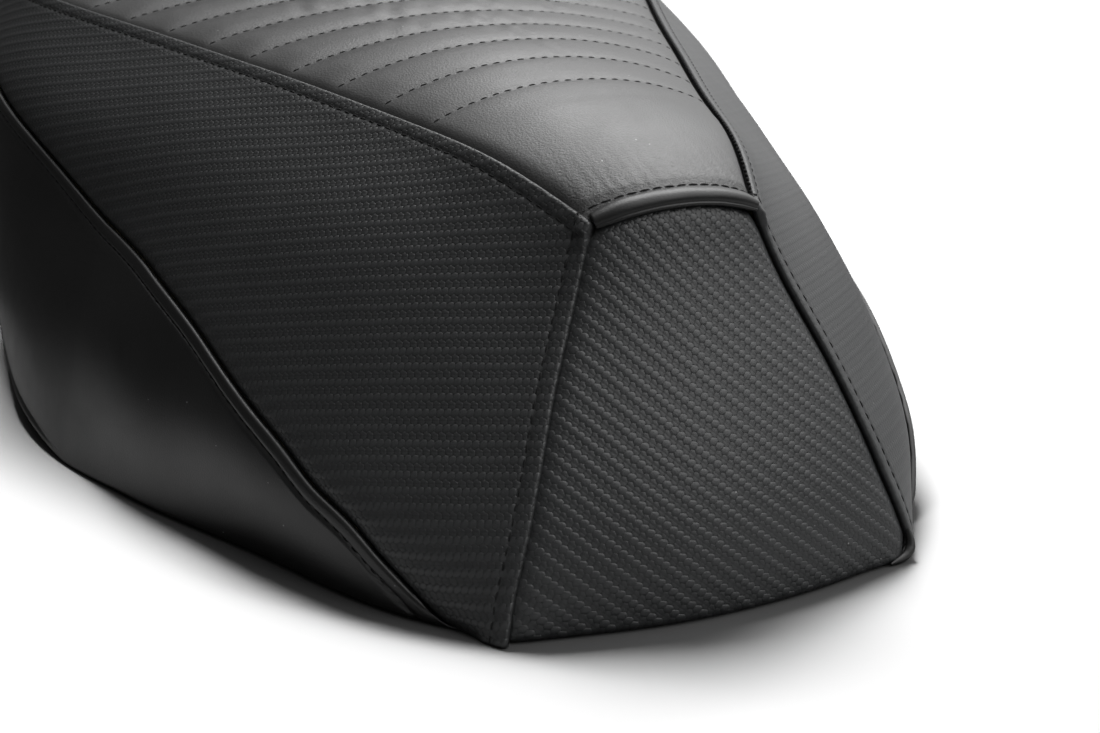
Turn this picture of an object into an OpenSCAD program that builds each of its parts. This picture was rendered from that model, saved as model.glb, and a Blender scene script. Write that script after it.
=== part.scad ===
// Two-up motorcycle seat with a front hinge.
// Frame: -Y towards the nose, +Y towards the tail, +Z up, millimetres.
// Right (+X) and left (-X) are as seen looking from the nose to the tail.
// The origin is the middle of the hinge's mounting face, between its two bolt holes.
// Z = 0 is the plane that the front rim and the two front pairs of feet stand on.

/* [Shape] */
// Height of the top seam at the nose
nose_h = 119; // [116:1:124]
// Half width of the top seam at the nose
nose_half = 30; // [27:1:33]
// How far the nose face swells forward at its foot
nose_bulge = 13; // [9:1:15]
// Slope of the rim behind the front rest, rise over run
rim_rise = 0.17; // [0.12:0.01:0.19]
// Where the rim leaves the rest plane, from the nose corners
rim_break = 177; // [170:1:190]
// Lengthways radius of the rounded tail
tail_len = 125; // [115:1:130]
// Crown of the rider's seat above its seams
crown_h = 14.5; // [11:0.5:17]

/* [Upholstery] */
// Thickness of the cover sheets
skin = 2; // [1.5:0.1:2.2]
// Gap left between two cover sheets at a seam
seam_gap = 0.5; // [0.4:0.1:0.8]
// Depth of the foam's skin under the cover's outside
foam_in = 4.6; // [4.4:0.1:5.5]
// Radius of the rolled piping across the nose
pipe_r = 3.4; // [2.8:0.1:3.6]

/* [Base pan] */
// Wall of the moulded pan
pan_t = 3; // [2.5:0.5:3.5]
// Height of the pan's roof underside above the rim
pan_h = 22; // [20:1:22]
// Inset of the pan's flange from the cover's outside
flange_in = 3.2; // [3:0.1:4]
// Width of the flange that the cover is stapled to
flange_w = 14; // [12:1:16]
// Staples on each side
staple_n = 15; // [8:1:18]

/* [Hinge] */
// Diameter of the hinge pin
pin_d = 8; // [6:1:8]
// Radial clearance of the pin in its bores
pin_gap = 0.05; // [0.02:0.01:0.09]
// Length of the frame leaf's barrel
barrel_w = 60; // [56:1:60]
// Height of the pin above the mounting face
pin_z = 9.5; // [9:0.5:9.5]
// Distance of the pin ahead of the mounting holes
pin_y = 38; // [36:1:40]
// Spacing of the two mounting holes
hole_pitch = 40; // [36:1:44]
// Diameter of the mounting holes, for M6 bolts
hole_d = 6.6; // [6.4:0.1:7]

/* [Latch] */
// Diameter of the striker's rod
rod_d = 8; // [7:1:8]
// Width between the striker's legs
striker_w = 28; // [26:1:32]
// Drop of the striker below the pan's roof
striker_drop = 44; // [36:1:48]
// Distance of the striker behind the nose corners
striker_y = 585; // [575:1:590]

/* [Rubber feet] */
// Radius of a foot
foot_r = 12; // [10:1:12]
// Height of a foot
foot_h = 14; // [12:1:14]

/* [Hidden] */
$fn = 48;
corner_y = 42;        // the nose corners lie this far ahead of the origin
tail_start = 520;     // station where the tail starts to round
tail_power = 2.3;     // exponent of the tail's superellipse in plan
tail_rake = 8;        // how far the top seam lies ahead of the rim at the tail's end
toe = 33;             // how far the rim lies ahead of the top seam at the nose
nose_rim_half = 74;   // rim half width at the nose
nose_crown = 6;       // crown at the nose
nose_bow = 4;         // how far the nose's top edge bows forward

// Sections of the seat, one row per station behind the nose corners:
// [station, top seam half width, top seam height,
//  half widths at 1/5, 2/5, 3/5, 4/5 of the drop, rim half width, crown]
SECTIONS = [
  [0,   nose_half, nose_h, 39, 50, 59.5, 68, nose_rim_half, nose_crown],
  [35,  44, 132.5, 65, 82, 96, 107, 105, 10],
  [70,  55.5, 139, 87, 108, 124, 130, 126, crown_h - 2],
  [105, 68, 144, 103, 125.5, 139, 146, 146, crown_h],
  [140, 81.5, 149, 118, 137, 150, 157, 159.5, crown_h],
  [180, 97, 154, 134, 148, 158.5, 166, 172.5, crown_h],
  [230, 117.5, 160.5, 153, 161.5, 168.5, 174.5, 179, crown_h],
  [290, 141, 168, 168, 174, 176.5, 177.5, 176.5, crown_h],
  [345, 149, 172.5, 168, 173, 174.5, 174, 172, 13],
  [375, 147.5, 177, 166, 170.5, 171.5, 171, 168, 12],
  [400, 143, 193, 160.5, 165, 166.5, 166, 163, 12],
  [425, 136, 208, 153.5, 159.5, 161.5, 161, 158, 12],
  [460, 127, 214.5, 145, 152, 154.5, 154, 151, 12],
  [520, 119, 216, 136, 143.5, 146, 145, 142, 12],
  [580, 112, 214, 128, 135.5, 138, 137, 134, 12],
  [660, 103, 208, 118, 125, 127.5, 126.5, 123, 11]];
WIDTH_COLS = [1, 3, 4, 5, 6, 7];
HEIGHT_COL = 2;
CROWN_COL = 8;

// Lower edge of the side panels: [station, share of the drop from top seam to rim]
PANEL_EDGE = [[8, 1], [15, 0.985], [27, 0.88], [35, 0.805], [48, 0.735], [58, 0.675],
  [70, 0.62], [97, 0.525], [138, 0.44], [194, 0.37], [246, 0.285], [274, 0.242],
  [330, 0.16], [380, 0.08], [415, 0.02], [700, 0.02]];
edge_top = 0.02;      // highest share of the drop that edge reaches
hem = 0.985;          // share of the drop where the cover ends

// Stations of the cover and the foam
MAIN = [14, 24, 36, 50, 66, 84, 104, 126, 150, 177, 205, 234, 264, 294, 320, 345];
STEP = [366, 380, 392, 404, 416, 430];
REAR = [446, 466, 492, 520];
TAIL = [538, 556, 572, 586, 598];
// Places across the top, from the left seam to the right one
ACROSS = [-1, -0.8, -0.55, -0.28, 0, 0.28, 0.55, 0.8, 1];

/* Lists and interpolation */
function part(list, first, last) = [for (i = [first:last]) list[i]];
function reverse(list) = [for (i = [len(list) - 1:-1:0]) list[i]];
function spread(a, b, n) = [for (i = [0:n]) a + (b - a) * i / n];
function unit(v) = v / norm(v);
// Cubic from a to b with end slopes m0 and m1, u = 0..1
function cubic(a, b, m0, m1, u) =
  a * (2 * u * u * u - 3 * u * u + 1) + m0 * (u * u * u - 2 * u * u + u)
  + b * (3 * u * u - 2 * u * u * u) + m1 * (u * u * u - u * u);
// Value of a table's column at y, with parabolic slopes at the rows
function row_at(table, y, i = 0) =
  (i >= len(table) - 2 || y < table[i + 1][0]) ? i : row_at(table, y, i + 1);
function chord(table, col, i) =
  (table[i + 1][col] - table[i][col]) / (table[i + 1][0] - table[i][0]);
function slope(table, col, i) =
  i <= 0 ? chord(table, col, 0) :
  i >= len(table) - 1 ? chord(table, col, i - 1) :
  let (before = table[i][0] - table[i - 1][0], after = table[i + 1][0] - table[i][0])
  (chord(table, col, i - 1) * after + chord(table, col, i) * before) / (before + after);
function table_at(table, col, y) =
  let (i = row_at(table, y), step = table[i + 1][0] - table[i][0])
  cubic(table[i][col], table[i + 1][col], slope(table, col, i) * step,
    slope(table, col, i + 1) * step, (y - table[i][0]) / step);
// Cubic through six evenly spaced widths, w = 0..1
function width_slope(v, i) =
  i == 0 ? v[1] - v[0] : i == 5 ? v[5] - v[4] : (v[i + 1] - v[i - 1]) / 2;
function width_at(v, w) = let (i = min(4, floor(w * 5)))
  cubic(v[i], v[i + 1], width_slope(v, i), width_slope(v, i + 1), w * 5 - i);

/* Seat surface */
// s runs along the seat: millimetres up to tail_start, then degrees round the tail
function tail_angle(s) = max(0, s - tail_start);
function station(s) =
  s <= tail_start ? s : tail_start + tail_len * pow(sin(tail_angle(s)), 2 / tail_power);
function narrowing(s) =
  s <= tail_start ? 1 : pow(max(0, cos(tail_angle(s))), 2 / tail_power);
// Fades smoothly from 1 at the nose to 0 at station 110
function lean(s) = let (f = max(0, 1 - s / 110)) f * f * (3 - 2 * f);
function arch(t) = 1 - pow(abs(t), 2.2);
function rim_z(y) = max(0, rim_rise * (y - rim_break));
// Point on the side, w = 0 at the top seam and 1 at the rim; e = 1 right, -1 left
function side(s, w, e) =
  let (y = station(s), rim = rim_z(y), widths = [for (c = WIDTH_COLS) table_at(SECTIONS, c, y)])
  [e * width_at(widths, w) * narrowing(s),
   y - toe * lean(s) * pow(sin(90 * w), 1.5) - tail_rake * (1 - w) * pow(sin(tail_angle(s)), 2),
   rim + (table_at(SECTIONS, HEIGHT_COL, y) - rim) * (1 - w)];
// Point on the top, t = -1 at the left seam and 1 at the right one
function top(s, t) = let (p = side(s, 0, 1))
  [t * p[0], p[1] - nose_bow * (1 - t * t) * lean(s * 3),
   p[2] + table_at(SECTIONS, CROWN_COL, station(s)) * pow(narrowing(s), 0.6) * arch(t)];
// Point on the nose face, w = 0 at the piping and 1 at the rim
function nose(t, w) = let (p = side(0, w, 1))
  [t * p[0], p[1] - (nose_bow + (nose_bulge - nose_bow) * w) * (1 - t * t),
   p[2] + nose_crown * arch(t) * (1 - w) * (1 - w)];

// Outward directions, continuous over the seams
function upward(w) = max(0, 1 - w / 0.35);
function forward(s) = max(0, 1 - s / 60);
// Sideways and rearward parts of the direction round the tail
function sideways(s) = pow(narrowing(s), tail_power - 1);
function rearward(s) = pow(sin(tail_angle(s)), 2 * (tail_power - 1) / tail_power);
function side_dir(s, w, e) = unit([e * sideways(s), rearward(s) - forward(s), upward(w)]);
function top_dir(s, t) = unit([t * sideways(s), rearward(s) * t * t - forward(s), 1]);
function nose_dir(t, w) = unit([t, -1, upward(w)]);
// Points at a depth under the surface
function side_in(s, w, e, depth) = side(s, w, e) - depth * side_dir(s, w, e);
function top_in(s, t, depth) = top(s, t) - depth * top_dir(s, t);
function nose_in(t, w, depth) = nose(t, w) - depth * nose_dir(t, w);
function panel_edge(s) =
  s <= 8 ? hem : s >= tail_start ? edge_top
  : min(hem, max(edge_top, table_at(PANEL_EDGE, 1, s)));

/* Solids from grids of points */
function quad(a, b, c, d) = [[a, b, c], [a, c, d]];
function flipped(faces) = [for (f = faces) [f[0], f[2], f[1]]];
// A closed sheet between two grids of points, [outside, inside]
module sheet(grids, flip = true) {
  rows = len(grids[0]);
  cols = len(grids[0][0]);
  n = rows * cols;
  last_row = n - cols;
  points = [for (grid = grids) for (row = grid) for (p = row) p];
  skins = [for (i = [0:rows - 2]) for (j = [0:cols - 2]) let (a = i * cols + j)
    each concat(quad(a, a + 1, a + cols + 1, a + cols),
      flipped(quad(n + a, n + a + 1, n + a + cols + 1, n + a + cols)))];
  first_edge = [for (a = [0:cols - 2]) each flipped(quad(a, a + 1, n + a + 1, n + a))];
  last_edge = [for (a = [last_row:n - 2]) each quad(a, a + 1, n + a + 1, n + a)];
  start_edge = [for (i = [0:rows - 2]) let (a = i * cols, b = a + cols)
    each quad(a, b, n + b, n + a)];
  end_edge = [for (i = [0:rows - 2]) let (a = i * cols + cols - 1, b = a + cols)
    each flipped(quad(a, b, n + b, n + a))];
  faces = concat(skins, first_edge, last_edge, start_edge, end_edge);
  translate([0, -corner_y, 0]) polyhedron(points, flip ? flipped(faces) : faces);
}
// Closes an end section by a strip from its left half to its right half
function cap(first, n) = [for (j = [0:floor((n - 1) / 2) - 1])
  let (a = first + j, b = first + n - 2 - j)
  each (a + 1 == b ? [[a, b + 1, b]] : quad(a, b + 1, b, a + 1))];
// A solid through a row of closed sections
module loft(sections) {
  rows = len(sections);
  n = len(sections[0]);
  points = [for (section = sections) for (p = section) p];
  walls = [for (i = [0:rows - 2]) for (j = [0:n - 1])
    let (a = i * n + j, b = i * n + (j + 1) % n) each quad(a, b, b + n, a + n)];
  faces = concat(walls, cap(0, n), flipped(cap((rows - 1) * n, n)));
  translate([0, -corner_y, 0]) polyhedron(points, flipped(faces));
}

/* Cover sheets */
edge_gap = 0.004;     // share of the drop left free on each side of the side panels' lower edge
seam_share = 0.006;   // share of the drop left free under the top seam
LOWER = concat([17, 26], part(MAIN, 2, len(MAIN) - 1), STEP, REAR, [538, 552]);

module top_sheet(stations) {
  fit = 1 - seam_gap / 60;
  sheet([for (d = [0, skin]) [for (s = stations) [for (t = ACROSS) top_in(s, t * fit, d)]]]);
}
module side_panel(e) {
  stations = concat([1.2], MAIN, part(STEP, 0, 3));
  color([0.16, 0.16, 0.17])
    sheet([for (d = [0, skin]) [for (s = stations)
      [for (w = spread(seam_share, panel_edge(s) - edge_gap, 7)) side_in(s, w, e, d)]]], e > 0);
}
module lower_panel(e) {
  color([0.05, 0.05, 0.06])
    sheet([for (d = [0, skin]) [for (s = LOWER)
      [for (w = spread(panel_edge(s) + edge_gap, hem, 8)) side_in(s, w, e, d)]]], e > 0);
}
module rider_cover() { color([0.09, 0.09, 0.1]) top_sheet(concat([5], MAIN, [365])); }
module step_panel() { color([0.1, 0.1, 0.11]) top_sheet(concat(part(STEP, 0, 4), [429])); }
module pillion_cover() { color([0.09, 0.09, 0.1]) top_sheet(concat([430], REAR, TAIL)); }
module side_panel_right() { side_panel(1); }
module side_panel_left() { side_panel(-1); }
module lower_panel_right() { lower_panel(1); }
module lower_panel_left() { lower_panel(-1); }
// Runs back along the right side, round the tail and forward on the left
module tail_panel() {
  right = [for (s = [553, 566, 580, 594, 604]) [s, 1]];
  left = [for (p = reverse(right)) [p[0], -1]];
  color([0.05, 0.05, 0.06])
    sheet([for (d = [0, skin]) [for (p = concat(right, [[610, 1]], left))
      [for (w = spread(edge_top, hem, 6)) side_in(p[0], w, p[1], d)]]]);
}
module nose_panel() {
  color([0.2, 0.2, 0.21])
    sheet([for (d = [0, skin]) [for (t = spread(-0.987, 0.987, 10))
      [for (w = spread(0.05, hem, 8)) nose_in(t, w, d)]]]);
}
// A round roll laid along the nose edge, standing proud of it
module nose_piping() {
  proud = 1.2;
  color([0.06, 0.06, 0.07]) loft([for (t = spread(-0.93, 0.93, 12))
    let (p = nose_in(t, 0, -proud))
    [for (a = [0:30:330]) p + pipe_r * [0, cos(a), sin(a)]]]);
}

/* Foam */
FOAM_DROPS = [0.07, 0.16, 0.27, 0.39, 0.52, 0.66, 0.8, 0.93];
nose_dip = 1.5;       // how far the foam's nose edge eases back and down
pan_fit = 0.6;        // clearance of the foam round the pan

function foam_section(s) = concat(
  [for (w = reverse(FOAM_DROPS)) side_in(s, w, -1, foam_in)],
  [for (t = ACROSS) top_in(s, t, foam_in)],
  [for (w = FOAM_DROPS) side_in(s, w, 1, foam_in)]);
// Section in the nose face, reaching a share of its half width
function foam_nose_section(share) = concat(
  [for (w = reverse(FOAM_DROPS)) nose_in(-share, w, foam_in)],
  [for (t = ACROSS) nose_in(share * t, 0, foam_in) + nose_dip * (1 - t * t) * [0, 1, -1]],
  [for (w = FOAM_DROPS) nose_in(share, w, foam_in)]);
module foam_cushion() {
  color([0.75, 0.68, 0.42]) difference() {
    loft(concat([for (share = [0.12, 0.4, 0.7, 0.93]) foam_nose_section(share)],
      [for (s = concat([5], MAIN, STEP, REAR, TAIL)) foam_section(s)]));
    pan_solid(pan_fit);
    // room over the hinge's nuts, then over the striker's
    translate([-36, -44, pan_h]) cube([72, 48, 17]);
    at_striker() translate([-40, -24, 0]) cube([80, 48, 18]);
  }
}

/* Base pan: a flange for the cover's edge and a deep tub */
PAN_FRONT = [0.25, 0.55, 0.8];   // shares of the half width across the nose
PAN_STATIONS = concat([0, 8, 18, 30, 46, 66, 90, 118, 148, 177, 210, 250, 294, 345, 375, 400,
  430, 466, 520], TAIL);
tub_in = flange_in + flange_w;
tub_wall = 3.2;       // thickness of the tub's side in plan
tub_draft = 5;        // how far the tub's side slopes inwards

// Right half of the rim's outline, moved inwards by an inset
function outline(inset) = concat(
  [for (k = PAN_FRONT)
    [(nose_rim_half - inset) * k, -toe - nose_bulge * (1 - k * k) + inset * 0.85]],
  [for (s = PAN_STATIONS) let (p = side(s, 1, 1), u = unit([sideways(s), rearward(s)]))
    [p[0] - inset * u[0], p[1] - inset * u[1] + inset * 0.75 * lean(s)]]);
// Sections between two outlines at heights above the rim
function slab(inset0, z0, inset1, z1) = let (low = outline(inset0), high = outline(inset1))
  [for (i = [0:len(low) - 1])
    let (p = low[i], q = high[i], pz = rim_z(p[1]) + z0, qz = rim_z(q[1]) + z1)
    [[-p[0], p[1], pz], [-q[0], q[1], qz], [q[0], q[1], qz], [p[0], p[1], pz]]];
// The pan without its hollow, grown by a gap
module pan_solid(gap) {
  loft(slab(flange_in - gap, 1.2 - gap * 2, flange_in - gap, 4 + gap));
  loft(slab(tub_in - gap, 3 - gap, tub_in + tub_draft - gap, pan_h + pan_t + gap));
}
module base_pan() {
  color([0.07, 0.07, 0.07]) difference() {
    union() {
      difference() {
        pan_solid(0);
        loft(slab(tub_in + tub_wall, -2, tub_in + tub_wall + tub_draft, pan_h));
      }
      // posts over the feet
      for (f = FEET, e = [-1, 1])
        translate([e * f[0], f[1] - corner_y, f[2] + foot_h])
          cylinder(r = foot_r, h = rim_z(f[1]) + pan_h + 1.5 - f[2] - foot_h);
    }
    at_feet(foot_h - 1) cylinder(r = peg_r + 0.05, h = 13.5);
    bolt_holes(pan_h - 5);
    at_striker() at_legs(-5) cylinder(r = rod_d / 2 + 0.3, h = 20);
  }
}

/* Rubber feet, with pegs pressed into the pan */
// [x, distance behind the nose corners, height of the foot's underside]
FEET = [[62, 92, 0], [104, 400, 0], [82, 540, 44]];
peg_r = 4.05;
foot_taper_h = 3;

module at_feet(z = 0) {
  for (f = FEET, e = [-1, 1])
    translate([e * f[0], f[1] - corner_y, f[2] + z]) children();
}
module rubber_feet() {
  color([0.04, 0.04, 0.04]) at_feet() {
    cylinder(r1 = foot_r - 1.5, r2 = foot_r, h = foot_taper_h);
    translate([0, 0, foot_taper_h]) cylinder(r = foot_r, h = foot_h - foot_taper_h);
    translate([0, 0, foot_h - 0.01]) cylinder(r = peg_r, h = 11);
  }
}

/* Staples along the flange */
staple_half = 5.5;
wire_w = 0.7;
wire_t = 0.6;
staple_in = 7;        // distance of the staples from the flange's edge

module staple() {
  translate([-staple_half, -wire_w / 2, -wire_t]) cube([2 * staple_half, wire_w, wire_t]);
  for (x = [-staple_half, staple_half - wire_t])
    translate([x, -wire_w / 2, -0.3]) cube([wire_t, wire_w, 2.8]);
}
module staples() {
  line = outline(flange_in + staple_in);
  skip = 3;           // outline points left free at each end
  color([0.7, 0.7, 0.72]) translate([0, -corner_y, 0])
    for (i = [0:staple_n - 1], e = [-1, 1]) {
      place = skip + i * (len(line) - 2 * skip) / (staple_n - 1);
      a = floor(place);
      f = place - a;
      p = line[a] * (1 - f) + line[a + 1] * f;
      run = line[a + 1] - line[a];
      z = rim_z(p[1]);
      tilt = z > 0.5 ? atan(rim_rise * run[1] / norm(run)) : 0;
      translate([e * p[0], p[1], z + wire_t])
        rotate([0, 0, e * atan2(run[1], run[0])])
          rotate([0, -e * tilt, 0]) staple();
    }
}

/* Hinge, built about its mounting face at the origin */
leaf_t = 3;           // thickness of both leaves
leaf_y = -26;         // front edge of the frame leaf's plate
leaf_len = 42;
ear_x = 31.5;         // inner face of the seat leaf's ears
clip_x = 36.5;        // middle of the clips and their grooves
backing_t = 2;
bolt_r = 3;           // bolts through the seat leaf, the pan and the backing plate

module at_bolts(z) { for (x = [-17, 17], y = [-27, -12]) translate([x, y, z]) children(); }
module bolt_holes(z) { at_bolts(z) cylinder(r = bolt_r + 0.3, h = 20); }
// Turns local z along the pin, at a distance x along it
module on_pin(x = 0) { translate([x, -pin_y, pin_z]) rotate([0, 90, 0]) children(); }
module pin_bore() { on_pin() cylinder(r = pin_d / 2 + pin_gap, h = 100, center = true); }
module hinge_frame_leaf() {
  barrel_r = 7.5;
  color([0.55, 0.56, 0.58]) difference() {
    union() {
      translate([-34, leaf_y, 0]) cube([68, leaf_len, leaf_t]);
      for (x = [-24, 24]) translate([x - 3, leaf_y, 0]) cube([6, leaf_len, 5]);
      on_pin(-barrel_w / 2) cylinder(r = barrel_r, h = barrel_w);
      translate([-barrel_w / 2, -pin_y, pin_z - barrel_r]) cube([barrel_w, 18, leaf_t]);
    }
    pin_bore();
    for (e = [-1, 1]) translate([e * hole_pitch / 2, 0, -5]) cylinder(r = hole_d / 2, h = 20);
  }
}
module hinge_seat_leaf() {
  color([0.6, 0.61, 0.63]) difference() {
    union() {
      translate([-38, -46, pan_h - leaf_t]) cube([76, 41, leaf_t]);
      for (x = [-ear_x - leaf_t, ear_x]) {
        on_pin(x) cylinder(r = 8, h = leaf_t);
        translate([x, -pin_y - 6, pin_z]) cube([leaf_t, 16, pan_h - pin_z - 1]);
      }
    }
    pin_bore();
    bolt_holes(pan_h - 8);
  }
}
module hinge_pin() {
  color([0.8, 0.8, 0.82]) on_pin() difference() {
    cylinder(r = pin_d / 2, h = 80, center = true);
    for (e = [-1, 1]) translate([0, 0, e * clip_x]) difference() {
      cylinder(r = pin_d, h = 1.2, center = true);
      cylinder(r = pin_d / 2 - 1, h = 2, center = true);
    }
  }
}
// Open rings in the pin's grooves
module hinge_clips() {
  color([0.45, 0.46, 0.5]) for (e = [-1, 1]) on_pin(e * clip_x) difference() {
    cylinder(r = pin_d / 2 + 3, h = 1, center = true);
    cylinder(r = pin_d / 2 - 0.95, h = 3, center = true);
    translate([0, -2.2, -2]) cube([12, 4.4, 4]);
  }
}
module hinge_bolts() {
  color([0.75, 0.76, 0.78]) at_bolts(pan_h - leaf_t) {
    translate([0, 0, -4]) cylinder(r = 5, h = 4, $fn = 6);
    translate([0, 0, -1]) cylinder(r = 6.4, h = 1);
    translate([0, 0, -0.5]) cylinder(r = bolt_r, h = 17);
  }
}
module hinge_backing_plate() {
  color([0.5, 0.51, 0.53]) difference() {
    translate([-32, -40, pan_h + pan_t]) cube([64, 40, backing_t]);
    bolt_holes(pan_h);
  }
}
module hinge_nuts() {
  color([0.75, 0.76, 0.78]) at_bolts(pan_h + pan_t + backing_t) difference() {
    cylinder(r = 5.77, h = 5.2, $fn = 6);
    translate([0, 0, -1]) cylinder(r = bolt_r + 0.05, h = 8);
  }
}

/* Striker for the seat lock */
bend_r = 8;           // bend of the rod, on its centre line
rod_fit = 0.05;       // radial gap round the rod in its plate and nuts
washer_t = 1.6;

// Places parts on the sloping underside of the pan's roof
module at_striker() {
  translate([0, striker_y - corner_y, rim_z(striker_y) + pan_h])
    rotate([atan(rim_rise), 0, 0]) children();
}
module at_legs(z) { for (e = [-1, 1]) translate([e * striker_w / 2, 0, z]) children(); }
module striker() {
  rod_r = rod_d / 2;
  bend_z = bend_r - striker_drop;
  color([0.78, 0.79, 0.8]) at_striker() {
    at_legs(bend_z) cylinder(r = rod_r, h = 16 - bend_z);
    for (e = [-1, 1])
      translate([e * (striker_w / 2 - bend_r), 0, bend_z])
        rotate([90, 0, 0]) rotate([0, 0, e > 0 ? -90 : 180])
          rotate_extrude(angle = 90) translate([bend_r, 0]) circle(r = rod_r);
    translate([0, 0, -striker_drop]) rotate([0, 90, 0])
      cylinder(r = rod_r, h = striker_w - 2 * bend_r, center = true);
  }
}
module striker_plate() {
  color([0.55, 0.56, 0.58]) at_striker() difference() {
    translate([-32, -16, -3]) cube([64, 32, 3]);
    at_legs(-5) cylinder(r = rod_d / 2 + rod_fit, h = 10);
  }
}
module striker_washers() {
  color([0.7, 0.71, 0.73]) at_striker() at_legs(pan_t) difference() {
    cylinder(r = 9, h = washer_t);
    translate([0, 0, -1]) cylinder(r = rod_d / 2 + 0.2, h = 5);
  }
}
module striker_nuts() {
  color([0.75, 0.76, 0.78]) at_striker() at_legs(pan_t + washer_t) difference() {
    cylinder(r = 7.5, h = 6.8, $fn = 6);
    translate([0, 0, -1]) cylinder(r = rod_d / 2 + rod_fit, h = 10);
  }
}

base_pan();
foam_cushion();
rider_cover();
step_panel();
pillion_cover();
tail_panel();
nose_panel();
nose_piping();
side_panel_left();
side_panel_right();
lower_panel_left();
lower_panel_right();
hinge_seat_leaf();
hinge_frame_leaf();
hinge_pin();
hinge_clips();
hinge_bolts();
hinge_nuts();
hinge_backing_plate();
striker();
striker_plate();
striker_washers();
striker_nuts();
rubber_feet();
staples();
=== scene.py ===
# A seat for rider and pillion: a sewn vinyl cover over a foam core, on the CAD base pan.
#
# The cover is shaped in millimetres and turned into metres when each mesh is made. y runs from the
# nose (0) to the tail (645), z is up, x = 0 is the middle. In the frame the nose points to -Y and
# +X is called right, as seen from the front.
#   station  y along the seat; beyond TAIL_START it counts degrees round the tail
#   across   -1 at the left top seam, 1 at the right one
#   drop     0 at the top seam, 1 at the rim
import math

import bpy
import numpy as np
from mathutils import Matrix, Vector


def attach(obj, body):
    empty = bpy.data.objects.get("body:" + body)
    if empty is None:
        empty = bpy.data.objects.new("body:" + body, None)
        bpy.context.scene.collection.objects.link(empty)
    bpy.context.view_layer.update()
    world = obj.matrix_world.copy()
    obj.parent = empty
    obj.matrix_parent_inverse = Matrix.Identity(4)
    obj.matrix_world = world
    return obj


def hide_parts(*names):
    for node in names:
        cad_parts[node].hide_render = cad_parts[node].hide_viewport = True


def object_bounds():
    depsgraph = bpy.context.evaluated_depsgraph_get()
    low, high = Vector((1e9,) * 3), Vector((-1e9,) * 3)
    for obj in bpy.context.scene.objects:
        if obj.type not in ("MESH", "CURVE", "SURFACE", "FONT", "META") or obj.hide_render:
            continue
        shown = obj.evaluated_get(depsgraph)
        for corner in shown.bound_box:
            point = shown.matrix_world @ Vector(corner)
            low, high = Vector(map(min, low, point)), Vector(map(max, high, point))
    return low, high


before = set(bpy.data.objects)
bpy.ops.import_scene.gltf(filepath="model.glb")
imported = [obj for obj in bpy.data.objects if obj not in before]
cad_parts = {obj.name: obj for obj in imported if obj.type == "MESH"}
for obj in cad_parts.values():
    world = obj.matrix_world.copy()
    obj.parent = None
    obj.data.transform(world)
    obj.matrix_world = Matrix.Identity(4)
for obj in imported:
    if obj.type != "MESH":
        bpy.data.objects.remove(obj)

CAD_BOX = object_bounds()
MIRROR = np.array([-1, 1, 1])

# ------------------------------------------------------------------ sizes and stations
NOSE_AHEAD = 42.0                # the nose corners sit this far ahead of the origin
TAIL_START = 520.0
TAIL_LENGTH = 125.0
TAIL_POWER = 2.3                 # exponent of the superellipse round the tail
TAIL_TURN = 32.0                 # degrees round the tail of the seam to the tail panel
STEP_FRONT, STEP_BACK = 366.0, 430.0
ROW_PITCH = 24.0                 # between the rows sewn across the padding
RIDER_ROWS = np.arange(73.0, 340.0, ROW_PITCH)
PILLION_ROWS = np.arange(454.0, 628.0, ROW_PITCH)
PILLION_DEPTH = 1.2
HEM_RADIUS = 2.4
HEM_DEPTHS = (1.5, 3.5, 6.0, 9.0)          # rows of the hem, inward from the rim
SHEET, THIN_SHEET = 1.5, 0.8

# station, top seam half width, top seam height, half widths at 1/5..4/5 of the drop,
# rim half width, crown of the top
SECTIONS = np.array([
    [0, 30, 119, 39, 50, 59.5, 68, 74, 6],
    [35, 44, 132.5, 65, 82, 96, 107, 105, 10],
    [70, 55.5, 139, 87, 108, 124, 130, 126, 12.5],
    [105, 68, 144, 103, 125.5, 139, 146, 146, 14.5],
    [140, 81.5, 149, 118, 137, 150, 157, 159.5, 14.5],
    [180, 97, 154, 134, 148, 158.5, 166, 172.5, 14.5],
    [230, 117.5, 160.5, 153, 161.5, 168.5, 174.5, 179, 14.5],
    [290, 141, 168, 168, 174, 176.5, 177.5, 176.5, 14.5],
    [345, 149, 172.5, 168, 173, 174.5, 174, 172, 13],
    [375, 147.5, 177, 166, 170.5, 171.5, 171, 168, 12],
    [400, 143, 193, 160.5, 165, 166.5, 166, 163, 12],
    [425, 136, 208, 153.5, 159.5, 161.5, 161, 158, 12],
    [460, 127, 214.5, 145, 152, 154.5, 154, 151, 12],
    [520, 119, 216, 136, 143.5, 146, 145, 142, 12],
    [580, 112, 214, 128, 135.5, 138, 137, 134, 12],
    [660, 103, 208, 118, 125, 127.5, 126.5, 123, 11]])
NOSE_HEIGHT, NOSE_RIM = SECTIONS[0, 2], SECTIONS[0, 7]

# station and drop of the seam between the side panel and the lower panel
SIDE_SEAM_POINTS = np.array([
    [8, 1], [15, 0.985], [27, 0.88], [35, 0.805], [48, 0.735], [58, 0.675], [70, 0.62],
    [97, 0.525], [138, 0.44], [194, 0.37], [246, 0.285], [274, 0.242], [330, 0.16], [380, 0.08],
    [415, 0.0], [430, 0.0]])
SIDE_SEAM_START, SIDE_SEAM_END = 8, 415

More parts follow.
